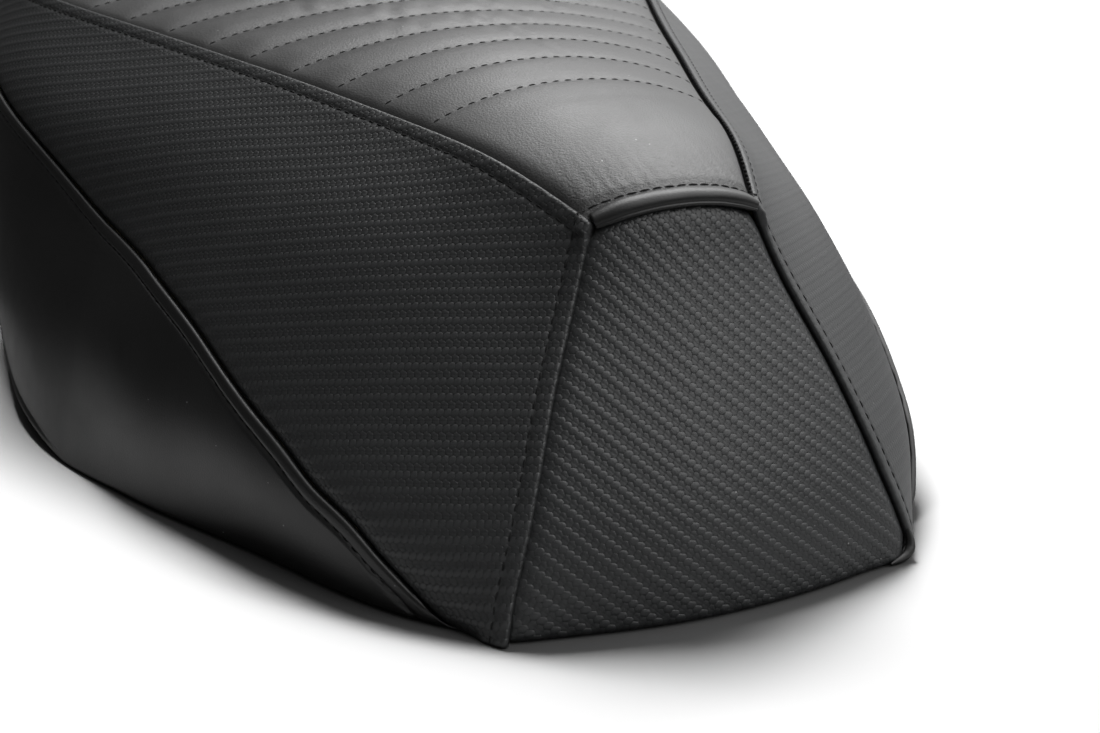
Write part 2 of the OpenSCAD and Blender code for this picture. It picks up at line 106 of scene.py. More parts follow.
# distances from an edge, in millimetres, at which its grid rows lie
EDGE = np.array([0, .12, .28, .5, .8, 1.15, 1.6, 2.2, 3.0, 3.6, 4.0, 4.4, 4.8, 5.3, 6.0, 7.0, 8.4])
SIDE_SEAM_EDGE = np.array([0, .12, .28, .5, .8, 1.15, 1.6, 2.2, 3.0, 3.8, 4.5, 4.9, 5.2, 5.5, 5.8,
                           6.3, 7.2, 8.4])
RIM_EDGE = np.array([0, .4, .9, 1.5, 2.2, 3.0, 4.0, 5.2])
LOWER_RIM_EDGE = np.array([0, .4, .9, 1.5, 2.1, 2.7, 3.2, 3.6, 4.0, 4.5, 5.0, 5.5, 6.0, 7.0, 8.5,
                           10.5])
NOSE_EDGE = np.array([0, .2, .5, .9, 1.4, 2.0, 2.8, 3.8, 5.0, 6.5])
LAP = np.array([0, .1, .3, .6, 1.0, 1.5, 2.2, 3, 4, 5]) - 0.6     # a lapping edge, from its seam

# how the bottom nose corners move: pull of the whole corner, of its tip, curl under the nose
CORNERS = {"right": np.array([[1.6, -3.0, 0], [0, 0, 0], [-4.4, 2.2, 0.2]]),
           "left": np.array([[2.2, -0.6, 0], [0.3, -2.6, 0], [0, 0, 0]])}


# ------------------------------------------------------------------ curves
class Spline:
    """Natural cubic through rows of values."""

    def __init__(self, knots, rows):
        self.knots = np.asarray(knots, float)
        self.rows = rows
        step = np.diff(self.knots)
        slope = np.diff(rows, axis=0) / step[:, None]
        system = np.eye(len(knots))
        target = np.zeros(rows.shape)
        for i in range(1, len(knots) - 1):
            system[i, i - 1:i + 2] = step[i - 1], 2 * (step[i - 1] + step[i]), step[i]
            target[i] = 6 * (slope[i] - slope[i - 1])
        self.bend = np.linalg.solve(system, target)

    def __call__(self, at):
        i = np.clip(np.searchsorted(self.knots, at, side="right") - 1, 0, len(self.knots) - 2)
        step = self.knots[i + 1] - self.knots[i]
        before = ((self.knots[i + 1] - at) / step)[:, None]
        after = ((at - self.knots[i]) / step)[:, None]
        curve = (before ** 3 - before) * self.bend[i] + (after ** 3 - after) * self.bend[i + 1]
        return before * self.rows[i] + after * self.rows[i + 1] + curve * step[:, None] ** 2 / 6


def hermite(x, y, at):
    """Cubic through points, with slopes weighted from both neighbours."""
    step = np.diff(x)
    slope = np.diff(y) / step
    inner = (slope[:-1] * step[1:] + slope[1:] * step[:-1]) / (step[1:] + step[:-1])
    tangent = np.concatenate([slope[:1], inner, slope[-1:]])
    i = np.clip(np.searchsorted(x, at, side="right") - 1, 0, len(x) - 2)
    u = (at - x[i]) / step[i]
    return (y[i] * (2 * u ** 3 - 3 * u ** 2 + 1) + y[i + 1] * (3 * u ** 2 - 2 * u ** 3)
            + tangent[i] * step[i] * (u ** 3 - 2 * u ** 2 + u)
            + tangent[i + 1] * step[i] * (u ** 3 - u ** 2))


def ease(value):
    """Smooth step from 0 to 1."""
    value = np.clip(value, 0, 1)
    return value * value * (3 - 2 * value)


def bell(distance, width, power=2):
    return np.exp(-np.abs(distance / width) ** power)


def unit(vectors):
    return vectors / np.maximum(np.linalg.norm(vectors, axis=-1, keepdims=True), 1e-9)


def arc_length(points):
    return np.concatenate([[0], np.cumsum(np.linalg.norm(np.diff(points, axis=0), axis=1))])


def interpolate_rows(at, x, rows):
    return np.stack([np.interp(at, x, rows[:, i]) for i in range(3)], -1)


# ------------------------------------------------------------------ shape of the seat
SECTION = Spline(SECTIONS[:, 0], SECTIONS[:, 1:])
DROP_WEIGHTS = Spline(np.linspace(0, 1, 6), np.eye(6))


def tail_angle(station):
    return np.radians(np.clip(station - TAIL_START, 0, 90))


def station_y(station):
    round_tail = TAIL_LENGTH * np.sin(tail_angle(station)) ** (2 / TAIL_POWER)
    return np.minimum(station, TAIL_START) + round_tail


def tail_narrowing(station):
    return np.cos(tail_angle(station)) ** (2 / TAIL_POWER)


def nose_lean(station):
    return ease(1 - station / 110.0)


def nose_sweep(drop):
    """How far the nose runs forward towards its rim."""
    return 33 * np.sin(np.pi / 2 * np.clip(drop, 0, 1)) ** 1.5


def crown_shape(across):
    return 1 - np.abs(across) ** 2.2


def side(station, drop):
    """Points of the right side."""
    station, drop = np.broadcast_arrays(station, drop)
    shape = station.shape
    station, drop = station.ravel(), drop.ravel()
    y = station_y(station)
    section = SECTION(y)
    rim = np.maximum(0, 0.17 * (y - 177.0))
    half_width = (section[:, [0, 2, 3, 4, 5, 6]] * DROP_WEIGHTS(drop)).sum(1)
    x = half_width * tail_narrowing(station)
    z = rim + (section[:, 1] - rim) * (1 - drop)
    y = (y - nose_lean(station) * nose_sweep(drop)
         - 8 * (1 - drop) * np.sin(tail_angle(station)) ** 2)
    return np.stack([x, y, z], -1).reshape(shape + (3,))


def top(station, across):
    station, across = np.broadcast_arrays(station, across)
    seam = side(station, 0.0)
    crown = SECTION(station_y(station.ravel()))[:, 7].reshape(station.shape)
    crown = crown * tail_narrowing(station) ** 0.6 * crown_shape(across)
    return np.stack([across * seam[..., 0],
                     seam[..., 1] - 4 * (1 - across * across) * nose_lean(station * 3),
                     seam[..., 2] + crown], -1)


def nose(across, drop):
    across, drop = np.broadcast_arrays(across, drop)
    corner = side(0.0, drop)
    return np.stack([across * corner[..., 0],
                     corner[..., 1] - (4 + 9 * drop) * (1 - across * across),
                     corner[..., 2] + 6 * crown_shape(across) * (1 - drop) ** 2], -1)


def side_seam_drop(station):
    inside = hermite(*SIDE_SEAM_POINTS.T, np.clip(station, SIDE_SEAM_START, 429))
    return np.where(station <= SIDE_SEAM_START, 1.0,
                    np.where(station >= SIDE_SEAM_END, 0.0, np.clip(inside, 0, 1)))


# seam lines, on the right where a seam lies on both sides
TOP_SEAM = side(np.concatenate([np.linspace(0, TAIL_START, 420),
                                TAIL_START + np.linspace(1, 90, 90)]), 0.0)
NOSE_SEAM = side(0.0, np.linspace(0, 1, 160))
side_seam_stations = np.linspace(SIDE_SEAM_START, SIDE_SEAM_END, 420)
SIDE_SEAM = side(side_seam_stations, side_seam_drop(side_seam_stations))
NOSE_TOP_SEAM = nose(np.linspace(-1, 1, 81), 0.0)
TAIL_SEAM = side(TAIL_START + TAIL_TURN, np.linspace(0, 1, 120))
STEP_FRONT_SEAM = top(STEP_FRONT, np.linspace(-1, 1, 161))
STEP_BACK_SEAM = top(STEP_BACK, np.linspace(-1, 1, 161))


# ------------------------------------------------------------------ helpers on grids
def seam_distance(points, seam, near=16.0):
    """Distance from points to a polyline, exact within `near`, rough beyond."""
    flat = points.reshape(-1, 3).astype(np.float32)
    seam = np.asarray(seam, np.float32)
    coarse = seam[::max(1, len(seam) // 40)]
    distance = np.full(len(flat), 1e9, np.float32)
    for knot in coarse:
        distance = np.minimum(distance, ((flat - knot) ** 2).sum(1))
    distance = np.sqrt(distance)
    length = np.linalg.norm(np.diff(seam, axis=0), axis=1).sum()
    close = np.nonzero(distance < near + length / len(coarse) * 0.75)[0]
    nearby = flat[close]
    best = np.full(len(nearby), 1e9, np.float32)
    for start, end in zip(seam[:-1], seam[1:]):
        run = end - start
        squared = float(run @ run)
        if squared < 1e-9:
            continue
        along = np.clip(((nearby - start) @ run) / squared, 0, 1)[:, None]
        best = np.minimum(best, ((nearby - start - along * run) ** 2).sum(1))
    distance[close] = np.sqrt(best)
    return distance.reshape(points.shape[:-1]).astype(float)


def pair_distance(points, seam):
    """Distance to a seam or its mirror image, whichever is nearer."""
    return np.minimum(seam_distance(points, seam), seam_distance(points, seam * MIRROR))


def rows_by_arc(surface, stations, start, end, middle, first_edge=EDGE, last_edge=EDGE):
    """A grid whose second axis is spaced in millimetres of arc, fine near both edges.
    Returns the points, their second surface parameter and their arc length."""
    fractions = np.linspace(0, 1, 161)
    grid, parameters, arcs = [], [], []
    starts, ends = np.broadcast_to(start, stations.shape), np.broadcast_to(end, stations.shape)
    for station, low, high in zip(stations, starts, ends):
        samples = low + (high - low) * fractions
        length = arc_length(surface(station, samples))
        total = max(length[-1], 1e-6)
        shrink = min(1.0, total / (first_edge[-1] + last_edge[-1] + 3.0))
        inner = np.linspace(first_edge[-1] * shrink, total - last_edge[-1] * shrink, middle + 2)
        arc = np.concatenate([first_edge * shrink, inner[1:-1],
                              (total - last_edge * shrink)[::-1]])
        parameter = np.interp(arc, length, samples)
        grid.append(surface(station, parameter))
        parameters.append(parameter)
        arcs.append(arc)
    return np.array(grid), np.array(parameters), np.array(arcs)


TOP_CENTRE = np.array([0, 300.0, 0.0])


def grid_normals(points, centre=(0, 250.0, 60.0)):
    """Unit normals of a grid, pointing away from a centre."""
    normal = np.cross(np.gradient(points, axis=0), np.gradient(points, axis=1))
    length = np.linalg.norm(normal, axis=-1, keepdims=True)
    normal = normal / np.maximum(length, 1e-9)
    if (normal * (points - np.array(centre))).sum() < 0:
        normal = -normal
    normal[length[..., 0] < 1e-9] = (0, 0, 1)
    return normal


def soft_normals(points, centre=(0, 250.0, 60.0)):
    """Grid normals averaged twice with their neighbours."""
    normal = grid_normals(points, centre)
    for _ in range(2):
        for grid in (normal, normal.transpose(1, 0, 2)):       # the second is a view of the first
            grid[1:-1] = (grid[:-2] + grid[2:] + 2 * grid[1:-1]) / 4
    return unit(normal)


def level_normals(normal):
    """Normals laid flat, for work along the rim."""
    return unit(normal * np.array([1, 1, 0]))


def wave(points, length, seed):
    """Smooth seeded undulation, roughly -1..1, with wavelengths near `length`."""
    random = np.random.RandomState(seed)
    count = 5
    total = np.zeros(points.shape[:-1])
    for _ in range(count):
        direction = random.normal(size=3)
        direction /= np.linalg.norm(direction)
        frequency = 2 * np.pi / (length * random.uniform(0.7, 1.4))
        total += np.sin(points @ direction * frequency + random.uniform(0, 6.28))
    return total / count


def contour(distance, points, normal, level, axis, region=np.s_[:]):
    """Points and normals where the distance first rises past a level along an axis."""
    distance, points, normal = distance[region], points[region], normal[region]
    if axis == 0:
        distance = distance.T
        points, normal = points.transpose(1, 0, 2), normal.transpose(1, 0, 2)
    path, facing = [], []
    for values, line, line_normal in zip(distance, points, normal):
        crossings = np.nonzero((values[:-1] < level) & (values[1:] >= level))[0]
        if len(crossings):
            i = crossings[0]
            part = (level - values[i]) / (values[i + 1] - values[i])
            path.append(line[i] * (1 - part) + line[i + 1] * part)
            facing.append(line_normal[i] * (1 - part) + line_normal[i + 1] * part)
    return np.array(path), np.array(facing)


def read_grid(grid, row_axis, column_axis, rows, columns):
    """Reads a coarse grid with the given axes at fine positions, bilinearly."""
    i = np.clip(np.searchsorted(row_axis, rows, side="right") - 1, 0, len(row_axis) - 2)
    j = np.clip(np.searchsorted(column_axis, columns, side="right") - 1, 0, len(column_axis) - 2)
    u = ((rows - row_axis[i]) / (row_axis[i + 1] - row_axis[i]))[..., None]
    v = ((columns - column_axis[j]) / (column_axis[j + 1] - column_axis[j]))[..., None]
    return (grid[i, j] * (1 - u) * (1 - v) + grid[i + 1, j] * u * (1 - v)
            + grid[i, j + 1] * (1 - u) * v + grid[i + 1, j + 1] * u * v)


def flatten(points):
    """The flat cutting pattern of a panel: a net of its edge lengths settles in a plane."""
    rows, columns = points.shape[:2]
    late, early, full = slice(1, None), slice(None, -1), slice(None)
    links = [(one, two, np.linalg.norm(points[one] - points[two], axis=-1)) for one, two in (
        ((late, full), (early, full)), ((full, late), (full, early)),
        ((late, late), (early, early)), ((late, early), (early, late)))]
    middle = columns // 2
    u = np.concatenate([[0], np.cumsum(links[0][2][:, middle])])
    v = np.concatenate([np.zeros((rows, 1)), np.cumsum(links[1][2], 1)], 1)
    v = v - v[:, middle:middle + 1]
    flat = np.stack([np.broadcast_to(u[:, None], (rows, columns)), v], -1)
    for _ in range(1800):
        moves = np.zeros_like(flat)
        count = np.zeros((rows, columns, 1))
        for one, two, rest in links:
            gap = flat[one] - flat[two]
            length = np.maximum(np.linalg.norm(gap, axis=-1), 1e-6)
            move = gap * ((length - rest) / length * 0.5)[..., None]
            moves[one] -= move
            moves[two] += move
            count[one] += 1
            count[two] += 1
        flat += moves / count * 1.6
    return flat


def thread_coordinates(flat, degrees):
    """Flat coordinates along the two threads, in centimetres; degrees is across the ribs."""
    turns = [math.radians(degrees + turn) for turn in (-45, 45)]
    return np.stack([flat[..., 0] * math.cos(turn) + flat[..., 1] * math.sin(turn)
                     for turn in turns], -1) * 0.1


# ------------------------------------------------------------------ sewn edges and the rim
def fold(distance, lift=0.42, radius=1.0, groove=0.40, swell=0.10, groove_at=4.5):
    """Height of the folded sheet that lies on top: rounded fold, soft welt, stitch groove."""
    height = (lift * bell(distance, 8.0) + swell * bell(distance - 2.4, 1.6, 4)
              - groove * bell(distance - groove_at, 0.7))
    inside = np.clip(radius - distance, 0, radius)
    return height - (radius - np.sqrt(np.maximum(radius * radius - inside * inside, 0)))


def tuck(distance, depth, width):
    """Height of the sheet that dips under a fold."""
    return -depth * bell(distance, width, 1.25)


def rim_distance(points, rim):
    return np.linalg.norm(points - rim[:, None], axis=-1)


def round_rim(points, to_rim, level, radius):
    """Rounds the bottom edge inward."""
    turn = np.clip(1 - to_rim / radius, 0, 1) * np.pi / 2
    rounded = points - level * (radius * (1 - np.cos(turn)))[..., None]
    rounded[..., 2] += np.where(to_rim < radius, radius * (1 - np.sin(turn)) - to_rim, 0)
    return rounded


def add_hem(outer, normal, level, to_rim):
    """Turns the rim under. Returns the longer grid and its normals, facing down at the hem."""
    hem = []
    for i, depth in enumerate(HEM_DEPTHS):
        row = outer[:, -1] - level[:, -1] * depth
        row[:, 2] += 0.15 * i
        hem.append(row[:, None])
    down = np.zeros((len(outer), len(HEM_DEPTHS), 3))
    down[..., 2] = -1
    turned = np.clip(1 - to_rim / HEM_RADIUS, 0, 1)[..., None]
    facing = unit(normal * (1 - turned) + np.array([0, 0, -1.0]) * turned)
    return np.concatenate([outer] + hem, 1), np.concatenate([facing, down], 1)


def bottom(drop, start):
    return ease((drop - start) / (1 - start))


def corner_pull(drop, away):
    """Share of the corner pull, from the drop and the distance to the nose seam."""
    return (bottom(drop, 0.72) * bell(away, 15.0))[..., None]


def move_corner(points, which, *shares):
    """Moves a bottom nose corner by its pull, tip and curl."""
    return points + sum(share * move for share, move in zip(shares, CORNERS[which]))


# ------------------------------------------------------------------ meshes
def make_mesh(name, vertices, quads, triangles=None, uv=None):
    """Smooth mesh from millimetre vertices; uv is per vertex."""
    mesh = bpy.data.meshes.new(name)
    metres = (np.asarray(vertices, float) - np.array([0, NOSE_AHEAD, 0])) * 0.001
    mesh.vertices.add(len(metres))
    mesh.vertices.foreach_set("co", metres.ravel().astype(np.float32))
    corners, starts, used = [], [], 0
    for faces in (quads, triangles):
        if faces is None:
            continue
        faces = np.asarray(faces, np.int32)
        corners.append(faces.ravel())
        starts.append(np.arange(len(faces)) * faces.shape[1] + used)
        used += faces.size
    corners, starts = np.concatenate(corners), np.concatenate(starts)
    mesh.loops.add(len(corners))
    mesh.loops.foreach_set("vertex_index", corners)
    mesh.polygons.add(len(starts))
    mesh.polygons.foreach_set("loop_start", starts)
    mesh.update(calc_edges=True)
    mesh.validate()
    if uv is not None:
        layer = mesh.uv_layers.new(name="mm")
        index = np.zeros(len(mesh.loops), np.int32)
        mesh.loops.foreach_get("vertex_index", index)
        layer.data.foreach_set("uv", np.asarray(uv, np.float32)[index].ravel())
    mesh.polygons.foreach_set("use_smooth", np.ones(len(mesh.polygons), bool))
    piece = bpy.data.objects.new(name, mesh)
    bpy.context.scene.collection.objects.link(piece)
    return piece


def set_attribute(piece, name, values):
    """Point attribute; values given for the outside grid repeat for the inside one."""
    values = np.resize(np.asarray(values, np.float32), len(piece.data.vertices))
    piece.data.attributes.new(name, "FLOAT", "POINT").data.foreach_set("value", values)


def register(piece, material, slot, *nodes):
    piece.data.materials.append(material)
    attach(piece, "seat")
    if nodes:
        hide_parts(*nodes)


def winds_inward(points, normal):
    cross = np.cross(points[1:, :-1] - points[:-1, :-1], points[:-1, 1:] - points[:-1, :-1])
    return (cross * normal[:-1, :-1]).sum() >= 0


def ring_faces(rows, columns):
    """Quads between rows of closed rings."""
    index = np.arange(rows * columns).reshape(rows, columns)
    following = np.roll(index, -1, axis=1)
    quads = [index[:-1], following[:-1], following[1:], index[1:]]
    return index, following, np.stack([corner.ravel() for corner in quads], 1)


def make_panel(part, outer, normal, thickness, uv, flip, material, slot, mirror=False,
               **attributes):
    """A closed sheet in place of a CAD part: outside grid, inside grid, wall round the edge."""
    inner = outer - normal * thickness
    if mirror:
        outer, inner, flip = outer * MIRROR, inner * MIRROR, not flip
    rows, columns = outer.shape[:2]
    count = rows * columns
    index = np.arange(count).reshape(rows, columns)
    a, b = index[:-1, :-1].ravel(), index[:-1, 1:].ravel()
    c, d = index[1:, 1:].ravel(), index[1:, :-1].ravel()
    border = np.concatenate([index[0, :-1], index[:-1, -1], index[-1, :0:-1], index[:0:-1, 0]])
    following = np.roll(border, -1)
    faces = np.concatenate([
        np.stack([a, b, c, d], 1), np.stack([a, d, c, b], 1) + count,
        np.stack([following, border, border + count, following + count], 1)])
    if flip:
        faces = faces[:, ::-1]
    piece = make_mesh(part + "_vinyl", np.concatenate([outer.reshape(-1, 3), inner.reshape(-1, 3)]),
                      faces, uv=np.concatenate([uv.reshape(-1, 2)] * 2))
    for name, values in attributes.items():
        set_attribute(piece, name, values)
    register(piece, material, slot, part)


def make_tube(name, rings, centres, uv=None):
    """A capped tube through rings of points, faces outward."""
    rows, columns = rings.shape[:2]
    index, following, quads = ring_faces(rows, columns)
    vertices = np.concatenate([rings.reshape(-1, 3), centres[:1], centres[-1:]])
    first, last = (np.full(columns, rows * columns + i) for i in (0, 1))
    caps = np.concatenate([np.stack([following[0], index[0], first], 1),
                           np.stack([index[-1], following[-1], last], 1)])
    start = vertices[quads[:, 0]]
    cross = np.cross(vertices[quads[:, 1]] - start, vertices[quads[:, 3]] - start)
    outward = vertices[quads].mean(1) - np.repeat(centres[:-1], columns, axis=0)
    if (cross * outward).sum() < 0:
        quads, caps = quads[:, ::-1], caps[:, ::-1]
    piece = make_mesh(name, vertices, quads, caps, uv)
    set_attribute(piece, "crease", 0.2)
    return piece


# ------------------------------------------------------------------ shader nodes
class Graph:
    """Writes shader nodes into a tree. Inputs are sockets to link or plain values."""

    def __init__(self, tree):
        self.tree = tree

    def put(self, node, inputs):
        for key, value in inputs.items():
            if isinstance(value, bpy.types.NodeSocket):
                self.tree.links.new(value, node.inputs[key])
            else:
                node.inputs[key].default_value = value

    def node(self, kind, inputs=None, **settings):
        node = self.tree.nodes.new(kind)
        for name, value in settings.items():
            setattr(node, name, value)
        self.put(node, inputs or {})
        return node

    def math(self, operation, *values):
        return self.node("ShaderNodeMath", dict(enumerate(values)), operation=operation).outputs[0]

    def plus(self, first, second):
        return self.math("ADD", first, second)

    def minus(self, first, second):
        return self.math("SUBTRACT", first, second)

    def times(self, first, second):
        return self.math("MULTIPLY", first, second)

    def place(self, output="Object"):
        return self.node("ShaderNodeTexCoord").outputs[output]

    def attribute(self, name):
        return self.node("ShaderNodeAttribute", attribute_name=name).outputs["Fac"]

    def stretch(self, vector, scale):
        return self.node("ShaderNodeMapping", {"Vector": vector, "Scale": scale}).outputs[0]

    def noise(self, vector, scale, detail=3.0, rough=0.5, distortion=0.0):
        return self.node("ShaderNodeTexNoise", {
            "Vector": vector, "Scale": scale, "Detail": detail, "Roughness": rough,
            "Distortion": distortion}).outputs["Fac"]

    def cells(self, vector, scale):
        return self.node("ShaderNodeTexVoronoi",
                         {"Vector": vector, "Scale": scale}).outputs["Distance"]

    def ramp(self, factor, *stops):
        node = self.node("ShaderNodeValToRGB", {0: factor})
        for element, (position, colour) in zip(node.color_ramp.elements, stops):
            element.position = position
            element.color = (*colour, 1)
        return node.outputs[0]

    def map_range(self, value, start, end, low, high, **settings):
        inputs = dict(enumerate((value, start, end, low, high)))
        return self.node("ShaderNodeMapRange", inputs, **settings).outputs[0]

    def bump(self, height, strength, distance, normal=None):
        inputs = {"Height": height, "Strength": strength, "Distance": distance}
        if normal is not None:
            inputs["Normal"] = normal
        return self.node("ShaderNodeBump", inputs).outputs[0]

    def dust(self, colour, vector, scale, size, tone):
        """A few grey specks over a colour."""
        specks = self.math("LESS_THAN", self.cells(vector, scale), size)
        return self.node("ShaderNodeMix", {"Factor": specks, 6: colour, 7: (*grey(tone), 1)},
                         data_type="RGBA").outputs[2]


def grey(tone):
    return (tone,) * 3


def new_material(name):
    material = bpy.data.materials.new(name)
    material.use_nodes = True
    tree = material.node_tree
    return material, Graph(tree), tree.nodes["Principled BSDF"]


def vinyl(name, tone, roughness, specular, grain, grain_scale, wrinkles=0.0):
    """Grained vinyl; wrinkles show where the crease attribute is high."""
    material, graph, shader = new_material(name)
    place = graph.place()
    pebbles = graph.cells(place, grain_scale)
    fine = graph.noise(place, grain_scale * 1.9, detail=2.0, rough=0.6)
    broad = graph.noise(place, scale=60.0, rough=0.55)
    pebbles = graph.times(graph.math("MINIMUM", pebbles, 0.75), 1.1)
    height = graph.plus(graph.times(pebbles, 0.6), graph.times(fine, 0.55))
    normal = graph.bump(height, strength=grain, distance=0.00016)
    if wrinkles > 0:
        folds = graph.noise(graph.stretch(place, (0.8, 1.0, 1.0)), scale=700.0, rough=0.6,
                            distortion=1.2)
        folds = graph.times(folds, graph.times(graph.attribute("crease"), wrinkles))
        normal = graph.bump(folds, strength=1.0, distance=0.0004, normal=normal)
    rough = graph.plus(graph.times(graph.minus(broad, 0.5), 0.16),
                       graph.plus(graph.times(fine, 0.06), roughness - 0.03))
    blend = graph.plus(graph.times(broad, 0.6), graph.times(pebbles, 0.4))
    colour = graph.ramp(blend, (0.3, grey(tone * 0.8)), (0.75, grey(tone * 1.25)))
    graph.put(shader, {
        "Roughness": rough, "Specular IOR Level": specular, "Coat Roughness": 0.35,
        "Normal": normal,
        "Base Color": graph.dust(colour, place, scale=95.0, size=0.028, tone=0.22)})
    return material


def carbon(name, tone, roughness, pitch, height, low, rib_share, specular=0.5, soft=0.5,
           long=1.05, short=0.72, contrast=1.0):
    """Embossed two-by-two twill. The UV map holds centimetres along the two threads.
    pitch in mm, height of the relief in m, low: height of the second thread direction,
    soft: power of the pad profile, long and short: pad radii, contrast: shading by height."""
    material, graph, shader = new_material(name)
    uv = graph.node("ShaderNodeUVMap", uv_map="mm").outputs[0]
    place = graph.place()
    threads = graph.node("ShaderNodeSeparateXYZ", {0: uv})
    wander = graph.node("ShaderNodeTexNoise", {"Vector": place, "Scale": 110.0})
    wander = graph.node("ShaderNodeSeparateXYZ", {0: wander.outputs["Color"]})
    x, y = [graph.plus(graph.math("DIVIDE", threads.outputs[i], pitch * 0.1),
                       graph.times(graph.minus(wander.outputs[i], 0.5), 0.28)) for i in (0, 1)]
    along = graph.times(graph.minus(x, y), 0.5)
    across = graph.times(graph.plus(x, y), 0.25)

    def cell_offset(value, centre):
        return graph.minus(graph.math("FRACT", graph.minus(value, centre - 0.5)), 0.5)

    def pads(along_centre, across_centre, first_radius, second_radius):
        """Rounded pads of one thread direction, on a lattice turned by 45 degrees."""
        from_along = cell_offset(along, along_centre)
        from_across = graph.times(cell_offset(across, across_centre), 2.0)
        first = graph.math("DIVIDE", graph.plus(from_across, from_along), first_radius)
        second = graph.math("DIVIDE", graph.minus(from_across, from_along), second_radius)
        squared = graph.plus(graph.times(first, first), graph.times(second, second))
        dome = graph.minus(1.0, graph.math("POWER", squared, 1.3))
        return graph.math("POWER", graph.math("MAXIMUM", dome, 0.0), soft), from_across

    high_pads, from_rib = pads(0.25, 0.875, long, short)
    low_pads, _ = pads(-0.25, 0.375, short, long)
    # one rib to two rows of pads
    rib = graph.minus(1.0, graph.times(graph.times(from_rib, from_rib), 1.0))
    tilt = graph.minus(1.0, graph.times(from_rib, 0.45))
    weave = graph.math("MAXIMUM", graph.times(high_pads, tilt), graph.times(low_pads, low))
    weave = graph.plus(graph.times(weave, 0.62), graph.times(rib, rib_share))
    fine = graph.noise(place, scale=1700.0, detail=2.0, rough=0.6)
    flat = graph.attribute("flat")
    relief = graph.times(graph.plus(weave, graph.times(fine, 0.16)),
                         graph.minus(1.0, graph.times(flat, 0.12)))
    normal = graph.bump(relief, strength=1.0, distance=height)
    broad = graph.noise(place, scale=45.0, rough=0.55)
    shade = graph.plus(graph.times(weave, contrast), 0.55 * (1 - contrast))
    shade = graph.plus(graph.times(shade, 0.75), graph.times(broad, 0.25))
    colour = graph.ramp(shade, (0.08, (tone * 0.45, tone * 0.47, tone * 0.48)),
                        (0.8, (tone * 1.15, tone * 1.2, tone * 1.24)))
    rough = graph.plus(graph.times(broad, 0.12), roughness - 0.06)
    # light barely reaches the gaps between the threads
    open_light = graph.plus(graph.times(graph.math("POWER", weave, 0.6), 0.75 * contrast),
                            0.25 + 0.55 * (1 - contrast))
    graph.put(shader, {
        "Normal": normal, "Roughness": rough,
        "Specular IOR Level": graph.times(open_light, specular),
        "Base Color": graph.dust(colour, place, scale=80.0, size=0.024, tone=0.14)})
    return material


def thread():
    material, graph, shader = new_material("thread")
    place = graph.place()
    fibres = graph.noise(place, scale=3800.0, detail=2.0)
    twist = graph.node("ShaderNodeTexWave", {"Vector": place, "Scale": 900.0, "Distortion": 3.0})
    relief = graph.plus(graph.times(twist.outputs["Fac"], 0.6), fibres)
    graph.put(shader, {
        "Normal": graph.bump(relief, strength=0.8, distance=0.0001),
        "Base Color": graph.ramp(fibres, (0.3, grey(0.0035)), (0.8, grey(0.008))),
        "Roughness": 0.8, "Specular IOR Level": 0.2})
    return material


def plastic(name, colour, roughness, grain):
    material, graph, shader = new_material(name)
    place = graph.place()
    pebbles = graph.cells(place, scale=900.0)
    broad = graph.noise(place, scale=18.0, detail=4.0, rough=0.6)
    fine = graph.noise(place, scale=2400.0, detail=2.0)
    relief = graph.plus(graph.times(pebbles, 0.7), graph.times(fine, 0.3))
    graph.put(shader, {
        "Normal": graph.bump(relief, strength=grain, distance=0.0002),
        "Base Color": graph.ramp(broad, (0.35, tuple(part * 0.8 for part in colour)),
                                 (0.7, tuple(part * 1.3 for part in colour))),
        "Roughness": graph.plus(graph.times(broad, 0.2), roughness - 0.1)})
    return material


def steel(name, tone, roughness, warmth=0.0):
    material, graph, shader = new_material(name)
    place = graph.place()
    brushed = graph.noise(graph.stretch(place, (1.0, 14.0, 14.0)), scale=120.0, detail=4.0,
                          rough=0.7)
    stains = graph.noise(place, scale=55.0, detail=4.0, rough=0.6)
    spangle = graph.cells(place, scale=260.0)
    dark = (tone * 0.72, tone * 0.70 * (1 - warmth), tone * 0.66 * (1 - warmth * 2))
    light = (tone, tone * (1 - warmth * 0.4), tone * (1 - warmth))
    blend = graph.plus(graph.times(stains, 0.7), graph.times(spangle, 0.3))
    rough = graph.plus(graph.times(brushed, 0.18),
                       graph.plus(graph.times(stains, 0.15), roughness - 0.15))
    graph.put(shader, {
        "Base Color": graph.ramp(blend, (0.25, dark), (0.75, light)), "Roughness": rough,
        "Normal": graph.bump(brushed, strength=0.25, distance=0.0001), "Metallic": 1.0})
    return material


def foam():
    material, graph, shader = new_material("foam")
    place = graph.place()
    pores = graph.cells(place, scale=700.0)
    broad = graph.noise(place, scale=30.0, detail=4.0)
    graph.put(shader, {
        "Normal": graph.bump(pores, strength=0.7, distance=0.0006),
        "Base Color": graph.ramp(broad, (0.3, (0.52, 0.44, 0.22)), (0.7, (0.68, 0.6, 0.36))),
        "Roughness": 0.9})
    return material


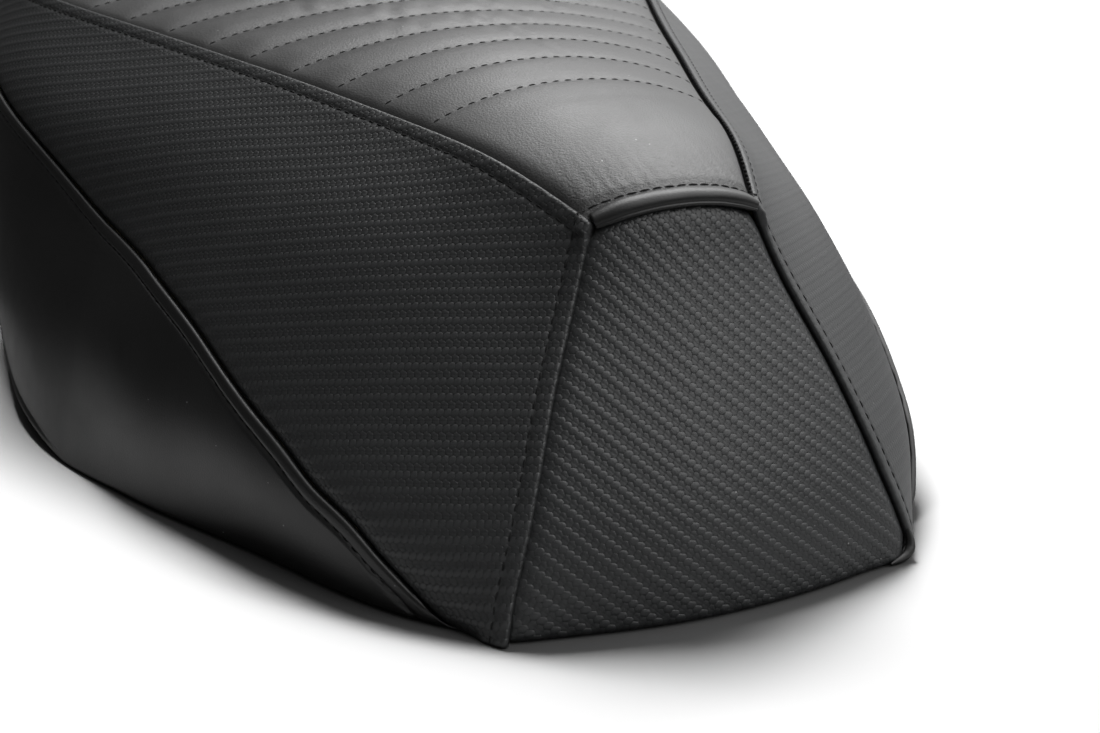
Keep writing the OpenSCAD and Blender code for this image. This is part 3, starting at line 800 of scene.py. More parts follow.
VINYL_TOP = vinyl("vinyl_top", tone=0.027, roughness=0.43, specular=0.41, grain=0.6,
                  grain_scale=1200.0, wrinkles=0.8)
VINYL_LOW = vinyl("vinyl_gloss", tone=0.0050, roughness=0.33, specular=0.45, grain=0.28,
                  grain_scale=1500.0)
VINYL_LOW_RIGHT = vinyl("vinyl_gloss_right", tone=0.0050, roughness=0.42, specular=0.30,
                        grain=0.28, grain_scale=1500.0)
VINYL_PIPING = vinyl("vinyl_piping", tone=0.010, roughness=0.36, specular=0.32, grain=0.3,
                     grain_scale=1300.0)
CARBON_SIDE = carbon("carbon_side", tone=0.0175, roughness=0.46, pitch=1.75, height=0.00046,
                     low=0.78, rib_share=0.27, specular=0.56)
CARBON_NOSE = carbon("carbon_nose", tone=0.019, roughness=0.37, pitch=1.785, height=0.00044,
                     low=0.80, rib_share=0.24, long=0.80, short=1.05)
# painted light: this copy of the side carbon for the right panel has a lighter tone (0.0235 against
# 0.0175) and weaker shading by height, standing in for the light that falls on the right side
CARBON_SIDE_RIGHT_LIT = carbon("carbon_side_right", tone=0.0235, roughness=0.50, pitch=1.75,
                           height=0.00013, low=0.8, rib_share=0.06, specular=0.55, soft=0.7,
                           contrast=0.35)
THREAD = thread()
PAN = plastic("pan_plastic", colour=(0.016, 0.016, 0.017), roughness=0.55, grain=0.35)
RUBBER = plastic("rubber_black", colour=grey(0.014), roughness=0.75, grain=0.2)
ZINC = steel("steel_zinc", tone=0.55, roughness=0.42, warmth=0.06)
BRIGHT = steel("steel_bright", tone=0.66, roughness=0.3)
DARK = steel("steel_dark", tone=0.16, roughness=0.4)
FOAM = foam()


# ------------------------------------------------------------------ side panels
def build_side_panels():
    """Embossed panels above the side seam. Returns their stitch rows and a welt point."""
    end = 412.0
    stations = np.concatenate([EDGE * 0.9, np.arange(9.0, end, 1.6), [end]])
    station, seam_drops = stations[:, None], side_seam_drop(stations)
    points, drops, _ = rows_by_arc(side, stations, 0.0, seam_drops, 62)
    normal = soft_normals(points)
    to_top, to_nose = seam_distance(points, TOP_SEAM), seam_distance(points, NOSE_SEAM)
    to_side = seam_distance(points, SIDE_SEAM)
    to_fold = np.minimum(to_top, to_nose)
    height = (fold(to_fold, groove_at=5.4) + tuck(to_side, 2.4, 2.6)
              + 0.09 * wave(points, 4.5, 61) * ease((5 - to_fold) / 2) * ease(to_fold / 1.2)
              + 0.35 * wave(points, 70, 3) * ease(to_fold / 12) * ease(to_side / 12))
    # soft lump where the two folded edges meet at the nose corner
    lump = ease(1 - (station - 1.0) / 7.0) * bell(to_top - 4.0, 3.2) * ease(to_nose / 0.8)
    height += 1.15 * lump * (1 + 0.8 * wave(points, 4, 51))
    to_rim = np.where(station < 16, rim_distance(points, side(stations, 1.0)), 99.0)
    outer = round_rim(points + normal * height[..., None], to_rim, level_normals(normal), 1.0)

    pattern_stations, pattern_drops = np.linspace(0, 412, 104), np.linspace(0, 1, 25)
    pattern = flatten(side(pattern_stations[:, None],
                           side_seam_drop(pattern_stations)[:, None] * pattern_drops[None]))
    share = np.clip(drops / np.maximum(seam_drops, 1e-6)[:, None], 0, 1)
    uv = thread_coordinates(read_grid(pattern, pattern_stations, pattern_drops,
                                      np.broadcast_to(station, drops.shape), share), 120)
    shares = (corner_pull(drops, station),
              (bottom(drops, 0.86) * ease(1 - (station - 2.0) / 12.0))[..., None],
              (bottom(drops, 0.925) * bell(station, 9.0))[..., None])
    for which, material in (("right", CARBON_SIDE_RIGHT_LIT), ("left", CARBON_SIDE)):
        make_panel("side_panel_" + which, move_corner(outer, which, *shares), normal, SHEET, uv,
                   winds_inward(points, normal), material, "carbon_vinyl",
                   mirror=which == "left", flat=ease((6.0 - to_fold) / 1.6))
    rows = [(*contour(to_top, outer, normal, 5.4, 1, (stations > 1.2) & (stations < 404)), 4.4),
            (*contour(to_nose, outer, normal, 5.6, 0, np.s_[:, 3:]), 4.4)]
    return rows, (outer[14, 2], normal[14, 2])


# ------------------------------------------------------------------ lower panels
def build_lower_panels():
    """Smooth panels from the side seam to the rim. Returns their stitch rows."""
    stations = np.concatenate([
        np.arange(8.5, 24, 1.0), np.arange(24, TAIL_START, 1.9),
        TAIL_START + np.arange(1.0, 30, 1.2),
        TAIL_START + TAIL_TURN - np.array([2.0, 1.4, 0.9, 0.5, 0.2, 0.0])])
    points, _, arc = rows_by_arc(side, stations, side_seam_drop(stations), 1.0, 74,
                                 SIDE_SEAM_EDGE, LOWER_RIM_EDGE)
    normal = soft_normals(points)
    level = level_normals(normal)
    beyond = np.concatenate([np.linspace(SIDE_SEAM_END, TAIL_START, 110),
                             TAIL_START + np.arange(1, 40)])
    to_side = seam_distance(points, np.concatenate([SIDE_SEAM, side(beyond, 0.0)]))
    to_tail = seam_distance(points, TAIL_SEAM)
    to_fold = np.minimum(to_side, to_tail) + 0.14 * wave(points, 11, 41)
    height = (fold(np.maximum(to_fold, 0), lift=0.38, radius=1.5, groove=0.0)
              - 0.85 * bell(to_fold - 5.3, 0.55, 1.6)
              + 0.5 * wave(points, 90, 5) * ease(to_side / 14))
    fade = ease((arc[:, -1:] - 2) / 10)          # the narrow front end has no room for relief
    to_rim = rim_distance(points, side(stations, 1.0))
    # the hem shows as a roll below the panel where the rim lifts
    roll = (ease((stations - 172) / 85) * ease((548 - stations) / 10))[:, None]
    height = height * fade + roll * (0.5 * bell(to_rim - 1.5, 1.2)
                                     - 2.6 * bell(to_rim - 3.5, 0.8, 2.4))
    outer = round_rim(points + normal * height[..., None], to_rim, level, HEM_RADIUS)
    lowered = np.interp(to_rim, [0, 2.6, 4.2, 10.0], [-2.5, 0.2, 1.8, 10.0])
    outer[..., 2] += roll * (lowered - np.minimum(to_rim, 10.0))
    hemmed, facing = add_hem(outer, normal, level, to_rim)
    along = np.broadcast_to(arc_length(points[:, 0])[:, None], hemmed.shape[:2])
    uv = np.stack([along, hemmed[..., 2]], -1) * 0.1
    # the right panel stands further out near its front
    proud = 1.5 * ease((150 - stations) / 80)[:, None] * bell(to_side, 11.0) * fade
    right = hemmed.copy()
    right[:, :normal.shape[1]] += proud[..., None] * normal
    for which, grid, material in (("right", right, VINYL_LOW_RIGHT), ("left", hemmed, VINYL_LOW)):
        make_panel("lower_panel_" + which, grid, facing, THIN_SHEET, uv,
                   winds_inward(points, normal), material, "gloss_vinyl", mirror=which == "left")
    return [(*contour(to_side, outer, normal, 5.3, 1, stations > 26), 4.6),
            (*contour(-to_tail, outer, normal, -5.3, 0, (stations > 500, slice(8, -6))), 5.2)]


# ------------------------------------------------------------------ tail panel
def build_tail_panel():
    """Panel round the tail. Returns its stitch row."""
    stations = np.concatenate([TAIL_START + TAIL_TURN + np.array([0, .3, .8, 1.5, 2.5]),
                               np.arange(TAIL_START + 36, TAIL_START + 90, 1.6),
                               [TAIL_START + 89.9]])

    def both_halves(half):
        return np.concatenate([half[:-1], half[-1:] * np.array([0, 1, 1]),
                               half[:-1][::-1] * MIRROR])

    points = both_halves(rows_by_arc(side, stations, 0.0, 1.0, 60, EDGE, RIM_EDGE)[0])
    normal = soft_normals(points)
    level = level_normals(normal)
    seam = side(TAIL_START + np.linspace(25, 90, 90), 0.0)
    to_top = seam_distance(points, np.concatenate([seam, seam[::-1] * MIRROR]))
    to_tail = pair_distance(points, TAIL_SEAM)
    height = (tuck(to_tail, 2.4, 2.6) + fold(to_top, lift=0.8, radius=1.1) * ease(to_tail / 3)
              + 0.3 * wave(points, 80, 9) * ease(to_top / 12))
    to_rim = rim_distance(points, both_halves(side(stations, 1.0)))
    outer = round_rim(points + normal * height[..., None], to_rim, level, HEM_RADIUS)
    hemmed, facing = add_hem(outer, normal, level, to_rim)
    make_panel("tail_panel", hemmed, facing, THIN_SHEET, hemmed[..., [0, 2]] * 0.1,
               winds_inward(points, normal), VINYL_LOW, "gloss_vinyl")
    return [(*contour(to_top, outer, normal, 4.5, 1, np.s_[6:-6]), 5.2)]


# ------------------------------------------------------------------ nose panel
def build_nose_panel():
    edge = NOSE_EDGE / 75.0
    acrosses = np.concatenate([-1 + edge, np.linspace(-1 + edge[-1], 1 - edge[-1], 92)[1:-1],
                               (1 - edge)[::-1]])
    across = acrosses[:, None]
    points, drops, _ = rows_by_arc(nose, acrosses, 0.0, 1.0, 78, EDGE[:12], RIM_EDGE)
    normal = grid_normals(points, (0, 60.0, 50.0))
    level = level_normals(normal)
    to_nose, to_top = pair_distance(points, NOSE_SEAM), seam_distance(points, NOSE_TOP_SEAM)
    height = np.where(points[..., 0] > 0, tuck(to_nose, 2.6, 2.8), tuck(to_nose, 1.5, 2.0))
    height += (tuck(to_top, 3.4, 3.2)
               + 0.4 * wave(points, 80, 11) * ease(to_nose / 15) * ease(to_top / 15))
    to_rim = rim_distance(points, nose(acrosses, 1.0))
    outer = round_rim(points + normal * height[..., None], to_rim, level, HEM_RADIUS)
    hemmed, facing = add_hem(outer, normal, level, to_rim)

    pattern_across, pattern_drops = np.linspace(-1, 1, 41), np.linspace(0, 1, 31)
    pattern = flatten(nose(pattern_across[:, None], pattern_drops[None]))
    flat = read_grid(pattern, pattern_across, pattern_drops,
                     np.broadcast_to(across, drops.shape), drops)
    hem = flat[:, -1:] + np.array([[0, depth] for depth in HEM_DEPTHS])[None]
    uv = thread_coordinates(np.concatenate([flat, hem], 1), 133.5)

    drops = np.concatenate([drops, np.ones((len(across), len(HEM_DEPTHS)))], 1)
    from_right, from_left = (1 - across) * NOSE_RIM, (1 + across) * NOSE_RIM
    curl = (bottom(drops, 0.925) * bell(from_right, 4.0))[..., None] * 0.7
    hemmed = move_corner(hemmed, "right", corner_pull(drops, from_right), 0, curl)
    hemmed += corner_pull(drops, from_left) * CORNERS["left"][0] * MIRROR
    make_panel("nose_panel", hemmed, facing, THIN_SHEET, uv, winds_inward(points, normal),
               CARBON_NOSE, "carbon_vinyl_light", flat=0.0)


# ------------------------------------------------------------------ padding of the top
CLOTH = dict(
    quality=6, mass=0.25, vertex_group_mass="sewn", pin_stiffness=1.0,
    tension_stiffness=18, compression_stiffness=6, shear_stiffness=6, bending_stiffness=0.25,
    tension_damping=12, compression_damping=12, shear_damping=12, air_damping=4,
    shrink_min=-0.022, use_pressure=True, uniform_pressure_force=6.0)
CLOTH_FRAMES = 26
CLOTH_SCALE = 0.01               # simulation units per millimetre


def settle(points, sewn):
    """Lets the sewn-down cover settle over its padding as cloth. Returns its rise in mm."""
    rows, columns = points.shape[:2]
    index = np.arange(rows * columns).reshape(rows, columns)
    faces = np.stack([index[:-1, :-1].ravel(), index[:-1, 1:].ravel(),
                      index[1:, 1:].ravel(), index[1:, :-1].ravel()], 1)
    mesh = bpy.data.meshes.new("settling")
    scaled = (points.reshape(-1, 3) * CLOTH_SCALE).astype(np.float32)
    mesh.from_pydata(scaled.tolist(), [], faces.tolist())
    mesh.update()
    if mesh.polygons[len(mesh.polygons) // 2].normal.z < 0:
        mesh.flip_normals()
    sheet = bpy.data.objects.new("settling", mesh)
    scene = bpy.context.scene
    scene.collection.objects.link(sheet)
    group = sheet.vertex_groups.new(name="sewn")
    group.add([int(i) for i in np.nonzero(sewn.ravel())[0]], 1.0, "ADD")
    cloth = sheet.modifiers.new("cloth", "CLOTH")
    for name, value in CLOTH.items():
        setattr(cloth.settings, name, value)
    cloth.settings.effector_weights.gravity = 0.0
    cloth.collision_settings.use_collision = False
    cloth.point_cache.frame_start = 1
    cloth.point_cache.frame_end = CLOTH_FRAMES
    frame_before = scene.frame_current
    for i in range(1, CLOTH_FRAMES + 1):
        scene.frame_set(i)
    evaluated = sheet.evaluated_get(bpy.context.evaluated_depsgraph_get())
    settled_mesh = evaluated.to_mesh()
    settled = np.zeros(len(settled_mesh.vertices) * 3, np.float32)
    settled_mesh.vertices.foreach_get("co", settled)
    evaluated.to_mesh_clear()
    scene.frame_set(frame_before)
    bpy.data.objects.remove(sheet)
    bpy.data.meshes.remove(mesh)
    moved = settled.reshape(rows, columns, 3) / CLOTH_SCALE - points
    return (moved * grid_normals(points, TOP_CENTRE)).sum(-1)


def quilt(rows, start, end, depth):
    """Pillow heights over a quilted zone: stations, across values and the height grid."""
    stations = [np.linspace(start, rows[0], 5)]
    stations += [np.linspace(row, following, 6) for row, following in zip(rows[:-1], rows[1:])]
    if end - rows[-1] > 2:
        stations.append(np.linspace(rows[-1], end, 5))
    stations = np.unique(np.round(np.concatenate(stations), 4))
    reach = np.pi / 2 * 0.88
    across = np.sin(np.linspace(-1, 1, 53) * reach) / math.sin(reach)
    points = top(stations[:, None], across[None])
    ripple = 0.06 * wave(points, 14, 77)
    points = points + grid_normals(points, TOP_CENTRE) * ripple[..., None]
    sewn = np.zeros(points.shape[:2], bool)
    sewn[:, [0, -1]] = True
    sewn[[0, -1]] = True
    for row in rows:
        sewn[np.abs(stations - row) < 0.5] = True
    height = np.nan_to_num(settle(points, sewn))
    height[sewn] = 0
    peaks = height[:, 8:-8].max(1)
    typical = np.percentile(peaks[peaks > 0.05], 50) if (height > 0.05).any() else 0
    if not 0.2 < typical < 20:       # the cloth failed to rise or blew up
        return None
    height = np.clip(height / typical, -0.3, 1.45) * depth
    fine_across = np.linspace(-1, 1, 500)
    fine_stations = np.linspace(start, end, int((end - start) / 0.75))
    lengthwise = Spline(stations, height)(fine_stations)
    return fine_stations, fine_across, Spline(across, lengthwise.T)(fine_across).T


def padding(points, station, across, to_edge, rows, depth, pillows):
    """Height of the padding; it falls into a narrow channel at each sewn row."""
    y = points[..., 1]
    to_row = np.min(np.abs(y[..., None] - rows), -1)
    between = np.clip(((y - rows[0]) / ROW_PITCH) % 1.0, 0, 1)
    pad = np.where((y > rows[0]) & (y < rows[-1]), 1 - np.abs(2 * between - 1) ** 2.6,
                   1 - bell(to_row, 8.0, 1.3))
    height = depth * pad * (0.55 + 0.45 * ease(to_edge / 7.0))
    if pillows is not None:
        stations, acrosses, grid = pillows
        station = np.broadcast_to(station, across.shape)
        pillow = read_grid(grid[..., None], stations, acrosses,
                           np.clip(station, stations[0], stations[-1]),
                           np.clip(across, -1, 1))[..., 0] * ease(to_edge / 16)
        share = ease((station - stations[0]) / 8) * ease((stations[-1] - station) / 4)
        height = height * (1 - share) + pillow * depth / max(np.max(depth), 1e-6) * share
    return height - 0.6 * bell(to_row, 0.9) * (0.4 + 0.6 * ease(to_edge / 7.0))


def top_sheet(stations, seed, rows=None, depth=None, pillows=None, over=None, beneath=None):
    """Grid, normals and heights of a top piece that folds over or dips beneath a cross seam."""
    points, across, _ = rows_by_arc(top, stations, -1.0, 1.0, 120, EDGE[:11], EDGE[:11])
    normal = soft_normals(points, TOP_CENTRE)
    to_edge = pair_distance(points, TOP_SEAM)
    height = np.where(points[..., 0] > 0, tuck(to_edge, 3.0, 3.0), tuck(to_edge, 1.8, 2.2))
    if rows is not None:
        height += padding(points, stations[:, None], across, to_edge, rows,
                          depth(points[..., 1]), pillows)
    if over is not None:
        distance = seam_distance(points, over)
        height = (height * ease(distance / 5)
                  + fold(distance, lift=0.7, radius=1.1) * ease(to_edge / 3))
    if beneath is not None:
        distance = seam_distance(points, beneath)
        height = height * ease((distance - 1) / 6) + tuck(distance, 2.2, 2.6)
    height += 0.4 * wave(points, 85, seed) * ease(to_edge / 14)
    return points, normal, height, to_edge


def make_cover(part, points, normal, height, crease):
    """Builds a top piece and returns its outside grid."""
    outer = points + normal * height[..., None]
    make_panel(part, outer, normal, SHEET, points[..., :2] * 0.1, winds_inward(points, normal),
               VINYL_TOP, "smooth_vinyl", crease=crease)
    return outer


# ------------------------------------------------------------------ top pieces
def build_rider_cover(pillows):
    """Returns the stitches of the sewn rows and the one beside the nose piping."""
    stations = np.concatenate([[2.0], np.arange(3.0, STEP_FRONT - 1, 1.5),
                               STEP_FRONT - np.array([0.8, 0.5, 0.25, 0.1, 0.0])])
    points, normal, height, to_edge = top_sheet(
        stations, seed=21, rows=RIDER_ROWS, depth=lambda y: 0.40 + 0.60 * ease((y - 60) / 110),
        pillows=pillows, beneath=STEP_FRONT_SEAM)
    to_nose = seam_distance(points, NOSE_TOP_SEAM)
    height = (height * ease((to_nose - 2) / 9) - 1.0 * bell(to_nose - 6.3, 1.0)
              - 1.6 * ease(1 - (to_nose - 2.6) / 3.4))
    # small gathers behind the nose piping
    gather = np.exp(-(to_nose - 7) / 12.0) * (to_nose > 6.5) * ease(to_edge / 6)
    ripple = np.sin(points[..., 0] * 1.5 + 2.2 * wave(points, 12, 31))
    height += 0.08 * gather * ripple * ease((to_nose - 7) / 2)
    crease = np.exp(-np.clip(to_nose - 6, 0, 99) / 16.0) + 0.10
    outer = make_cover("rider_cover", points, normal, height, crease)
    rows = []
    for row in RIDER_ROWS:
        i = int(np.argmin(np.abs(stations - row)))
        clear = to_edge[i] > 2.2
        rows.append((outer[i][clear], normal[i][clear], 4.6))
    return rows, (*contour(to_nose, outer, normal, 6.3, 0, np.s_[:60, 8:-8]), 4.2)


def build_rear_cover(part, stations, front_seam, **sheet):
    """Step panel or pillion cover. Returns its grids and the stitch row at its front seam."""
    points, normal, height, _ = top_sheet(stations, over=front_seam, **sheet)
    outer = make_cover(part, points, normal, height, 0.12)
    front = contour(seam_distance(points, front_seam), outer, normal, 4.5, 0, np.s_[:40, 10:-10])
    return points, outer, normal, (*front, 5.0)


def build_step_panel():
    stations = np.concatenate([STEP_FRONT + LAP, np.arange(STEP_FRONT + 6, STEP_BACK - 1, 1.4),
                               STEP_BACK - np.array([0.8, 0.4, 0.1, 0])])
    return build_rear_cover("step_panel", stations, STEP_FRONT_SEAM, seed=23,
                            beneath=STEP_BACK_SEAM)[-1]


def build_pillion_cover(pillows):
    """Returns the stitches of the sewn rows and the one at the front seam."""
    stations = np.concatenate([STEP_BACK + LAP, np.arange(STEP_BACK + 6, TAIL_START, 1.5),
                               TAIL_START + np.arange(1.0, 88.5, 1.25), [TAIL_START + 89.2]])
    points, outer, normal, front = build_rear_cover(
        "pillion_cover", stations, STEP_BACK_SEAM, seed=25, rows=PILLION_ROWS,
        depth=lambda y: PILLION_DEPTH, pillows=pillows)
    rows = []
    for row in PILLION_ROWS:
        path, facing = contour(points[..., 1], outer, normal, row, 0)
        clear = pair_distance(path, TOP_SEAM) > 2.5
        if clear.sum() > 5:
            rows.append((path[clear], facing[clear], 4.6))
    return rows, front


# ------------------------------------------------------------------ nose piping and corner
# section of the piping: mm back over the top, mm down the nose, then mm out from each
PIPING_SECTION = [
    (5.7, 0, -1.6, 0), (5.65, 0, -0.5, 0), (5.4, 0, 0.4, 0), (4.9, 0, 1.1, 0),
    (4.1, 0, 1.65, 0), (3.2, 0, 1.95, 0), (2.2, 0, 2.05, 0.1), (1.1, 0, 1.85, 0.5),
    (0.2, 0.2, 1.35, 0.95), (0, 0.8, 0.6, 1.3), (0, 1.3, 0.15, 1.15), (0, 1.5, 0, 0.75),
    (0, 1.7, 0, 0.95), (0, 2.1, 0, 1.12), (0, 2.6, 0, 0.9), (0, 2.85, 0, 0.3),
    (0, 2.8, 0, -1.2), (0, 1.6, -0.5, -2.0), (1.6, 0, -2.4, 0), (4.0, 0, -2.4, 0)]


def build_nose_piping():
    across = np.linspace(-0.985, 0.985, 121)
    edge = nose(across, 0.0)
    tangent = unit(np.gradient(edge, axis=0))

    def square_to_edge(vectors):
        return unit(vectors - (vectors * tangent).sum(1, keepdims=True) * tangent)

    back = square_to_edge(np.tile([0, 1, 0.30], (len(across), 1)))
    down = square_to_edge(nose(across, 0.05) - edge)
    above = np.cross(tangent, back)
    above *= np.sign(above[:, 2:3])
    ahead = np.cross(tangent, down)
    ahead *= -np.sign(ahead[:, 1:2])
    shrink = (1 - 0.28 * np.abs(across) ** 8)[:, None]
    rings = np.stack([edge + (back * a + down * b + above * c + ahead * d) * shrink
                      for a, b, c, d in PIPING_SECTION], 1)
    columns = len(PIPING_SECTION)
    wobble = 0.08 * np.sin(across * 9 + 1.3) + 0.05 * np.sin(across * 17)
    rings += (above * wobble[:, None])[:, None, :] * np.linspace(1, 0, columns)[None, :, None]
    uv = np.stack(np.meshgrid(across * 3, np.linspace(0, 1.5, columns), indexing="ij"), -1)
    uv = np.concatenate([uv.reshape(-1, 2), [[0, 0], [0, 0]]])
    piece = make_tube("nose_piping_roll", rings, rings.mean(1), uv)
    register(piece, VINYL_PIPING, "gloss_vinyl", "nose_piping")


# the end of the right-hand welt, from the bottom corner: x, y, z
TUCK_PATH = np.array([
    [-3.4, 2.6, 13.0], [-2.3, 1.6, 9.4], [-1.9, 0.6, 6.6], [-2.4, -0.3, 4.2], [-4.4, -1.1, 2.3],
    [-7.8, -1.9, 1.3], [-12.0, -2.6, 0.8]])


def build_corner_tuck():
    """The end of the right-hand welt turns under the bottom corner."""
    knots = side(0.0, 1.0) + CORNERS["right"][0] + TUCK_PATH
    length = arc_length(knots)
    at = np.linspace(0, length[-1], 44)
    centres = Spline(length, knots)(at)
    tangent = unit(np.gradient(centres, axis=0))
    wide = unit(np.cross(tangent, [0.43, 0.90, 0.0]))
    thin = np.cross(tangent, wide)
    radius = np.interp(at / length[-1], [0, 0.25, 0.5, 0.8, 1.0], [0.3, 1.1, 1.6, 1.1, 0.3])
    turn = np.linspace(0, 2 * np.pi, 14, endpoint=False)[None, :, None]
    rings = centres[:, None] + (wide[:, None] * np.cos(turn) * 1.15
                                + thin[:, None] * np.sin(turn) * 0.8) * radius[:, None, None]
    rings[..., 2] = np.maximum(rings[..., 2], 0.1)
    register(make_tube("corner_tuck_right", rings, centres), VINYL_PIPING, "gloss_vinyl")


# ------------------------------------------------------------------ sewing
# one stitch: place along it, girth, rise
STITCH = np.array([(-0.5, 0.35, -1.0), (-0.44, 0.75, -0.45), (-0.28, 1.0, 0.0), (0.0, 1.05, 0.18),
                   (0.28, 1.0, 0.0), (0.44, 0.75, -0.45), (0.5, 0.35, -1.0)])
STITCH_SINK = 0.55
STITCH_SIDES = 6
PATH_STEP = 0.4


def stitch_rings(path, facing, pitch, length, radius, lift):
    """Vertices of the stitches along one path."""
    place, girth, rise = STITCH.T
    turn = 2 * np.pi * np.arange(STITCH_SIDES)[None, :, None] / STITCH_SIDES
    measured = arc_length(path)
    at = np.arange(0, measured[-1], PATH_STEP)
    path, facing = (interpolate_rows(at, measured, rows) for rows in (path, facing))
    facing = unit(facing)
    count = int(measured[-1] // pitch)
    stitches = []
    for i in range(count):
        pitch = measured[-1] / count
        position = ((i + 0.12) * pitch + pitch * length * (place + 0.5)) / PATH_STEP
        position = np.clip(position, 0, len(path) - 1.001)
        low = position.astype(int)
        part = (position - low)[:, None]
        high = np.minimum(low + 1, len(path) - 1)
        run = path[high[-1]] - path[low[0]]
        if np.linalg.norm(run) < 0.5:
            continue
        normal = facing[low]
        across = unit(np.cross(normal, unit(run)))
        sway = 0.10 * math.sin(i * 2.4) * np.array([1, 1, 1, -1, -1, -1, -1])
        centre = (path[low] * (1 - part) + path[high] * part
                  + normal * (lift + rise * STITCH_SINK)[:, None] + across * sway[:, None])
        ring = across[:, None] * np.cos(turn) + normal[:, None] * np.sin(turn)
        stitches.append(centre[:, None] + ring * (radius * girth)[:, None, None])
    return stitches


def sew(name, slot, paths, length, radius, lift, mirror=False):
    """Stitches along paths of (points, normals, pitch); length is a share of the pitch."""
    stitches = [stitch for path, facing, pitch in paths if len(path) >= 4
                for stitch in stitch_rings(path, facing, pitch, length, radius, lift)]
    vertices = np.concatenate(stitches).reshape(-1, 3)
    end = (len(STITCH) - 1) * STITCH_SIDES
    quads = ring_faces(len(STITCH), STITCH_SIDES)[2][:, ::-1]
    caps = np.array([cap for t in range(1, STITCH_SIDES - 1)
                     for cap in ((t, t + 1, 0), (end + t + 1, end + t, end))])
    if mirror:
        vertices, quads, caps = vertices * MIRROR, quads[:, ::-1], caps[:, ::-1]
    starts = np.arange(len(stitches))[:, None, None] * len(STITCH) * STITCH_SIDES
    piece = make_mesh(name, vertices, (quads + starts).reshape(-1, 4),
                      (caps + starts).reshape(-1, 3))
    register(piece, THREAD, slot)


def crossing_threads(piping_row, welt, nose_row):
    """Threads that cross from the piping over the welt to each nose seam."""
    threads = []
    for flip in (np.array([1, 1, 1]), MIRROR):
        i = int(np.argmax(piping_row[0][:, 0] * flip[0]))
        path = np.array([piping_row[0][i], (welt[0] + welt[1] * 0.35) * flip,
                         nose_row[0][0] * flip])
        facing = np.array([piping_row[1][i], welt[1] * flip, nose_row[1][0] * flip])
        at = np.linspace(0, 2, 15)
        threads.append((*(interpolate_rows(at, [0, 1, 2], rows) for rows in (path, facing)), 3.0))
    return threads


def edge_row():
    """Stitches just inside the right top seam."""
    stations = np.arange(6.0, 330.0, 1.0)
    path = side(stations, 0.0) - np.array([1.0, 0, 0.3])
    return path, np.tile([-0.55, 0, 0.83], (len(stations), 1)), 2.6


def pulled(paths, which):
    """Panel stitch rows, moved with their bottom corner."""
    moved = []
    for path, facing, pitch in paths:
        drop = 1 - path[:, 2] / NOSE_HEIGHT
        away = np.clip(path[:, 1] + nose_sweep(drop), 0, 99)
        near = bell(away, 15.0)
        tip = (bottom(drop, 0.86) * near ** 1.5)[:, None]
        curl = (bottom(drop, 0.925) * near ** 2.8)[:, None]
        path = move_corner(path, which, corner_pull(drop, away), tip, curl)
        moved.append((path, facing, pitch))
    return moved


# ------------------------------------------------------------------ foam core and CAD parts
def build_foam_core():
    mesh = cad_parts["foam_cushion"].data.copy()
    mesh.name = "foam_core"
    mesh.materials.clear()
    core = bpy.data.objects.new("foam_core", mesh)
    bpy.context.scene.collection.objects.link(core)
    remesh = core.modifiers.new("remesh", "REMESH")
    remesh.mode = "VOXEL"
    remesh.voxel_size = 0.007
    smooth = core.modifiers.new("smooth", "SMOOTH")
    smooth.iterations = 3
    smooth.factor = 0.5
    depsgraph = bpy.context.evaluated_depsgraph_get()
    mesh = bpy.data.meshes.new_from_object(core.evaluated_get(depsgraph))
    core.modifiers.clear()
    core.data = mesh
    # drawn in to stand clear of the pan and of the cover
    places, normal = np.zeros(len(mesh.vertices) * 3), np.zeros(len(mesh.vertices) * 3)
    mesh.vertices.foreach_get("co", places)
    mesh.vertex_normals.foreach_get("vector", normal)
    mesh.vertices.foreach_set("co", places - normal * 0.0022)
    mesh.polygons.foreach_set("use_smooth", np.ones(len(mesh.polygons), bool))
    register(core, FOAM, "foam", "foam_cushion")


CAD_MATERIALS = {
    "base_pan": PAN, "rubber_feet": RUBBER, "hinge_seat_leaf": ZINC, "hinge_frame_leaf": ZINC,
    "hinge_backing_plate": ZINC, "striker_plate": ZINC, "striker": BRIGHT,
    "striker_nuts": BRIGHT, "striker_washers": BRIGHT, "hinge_pin": BRIGHT,
    "hinge_bolts": BRIGHT, "hinge_nuts": BRIGHT, "hinge_clips": DARK, "staples": BRIGHT}


def paint_cad_parts():
    for name, material in CAD_MATERIALS.items():
        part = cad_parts.get(name)
        if part is None:
            continue
        for slot in part.material_slots:
            slot.material = material
        if not len(part.material_slots):
            part.data.materials.append(material)


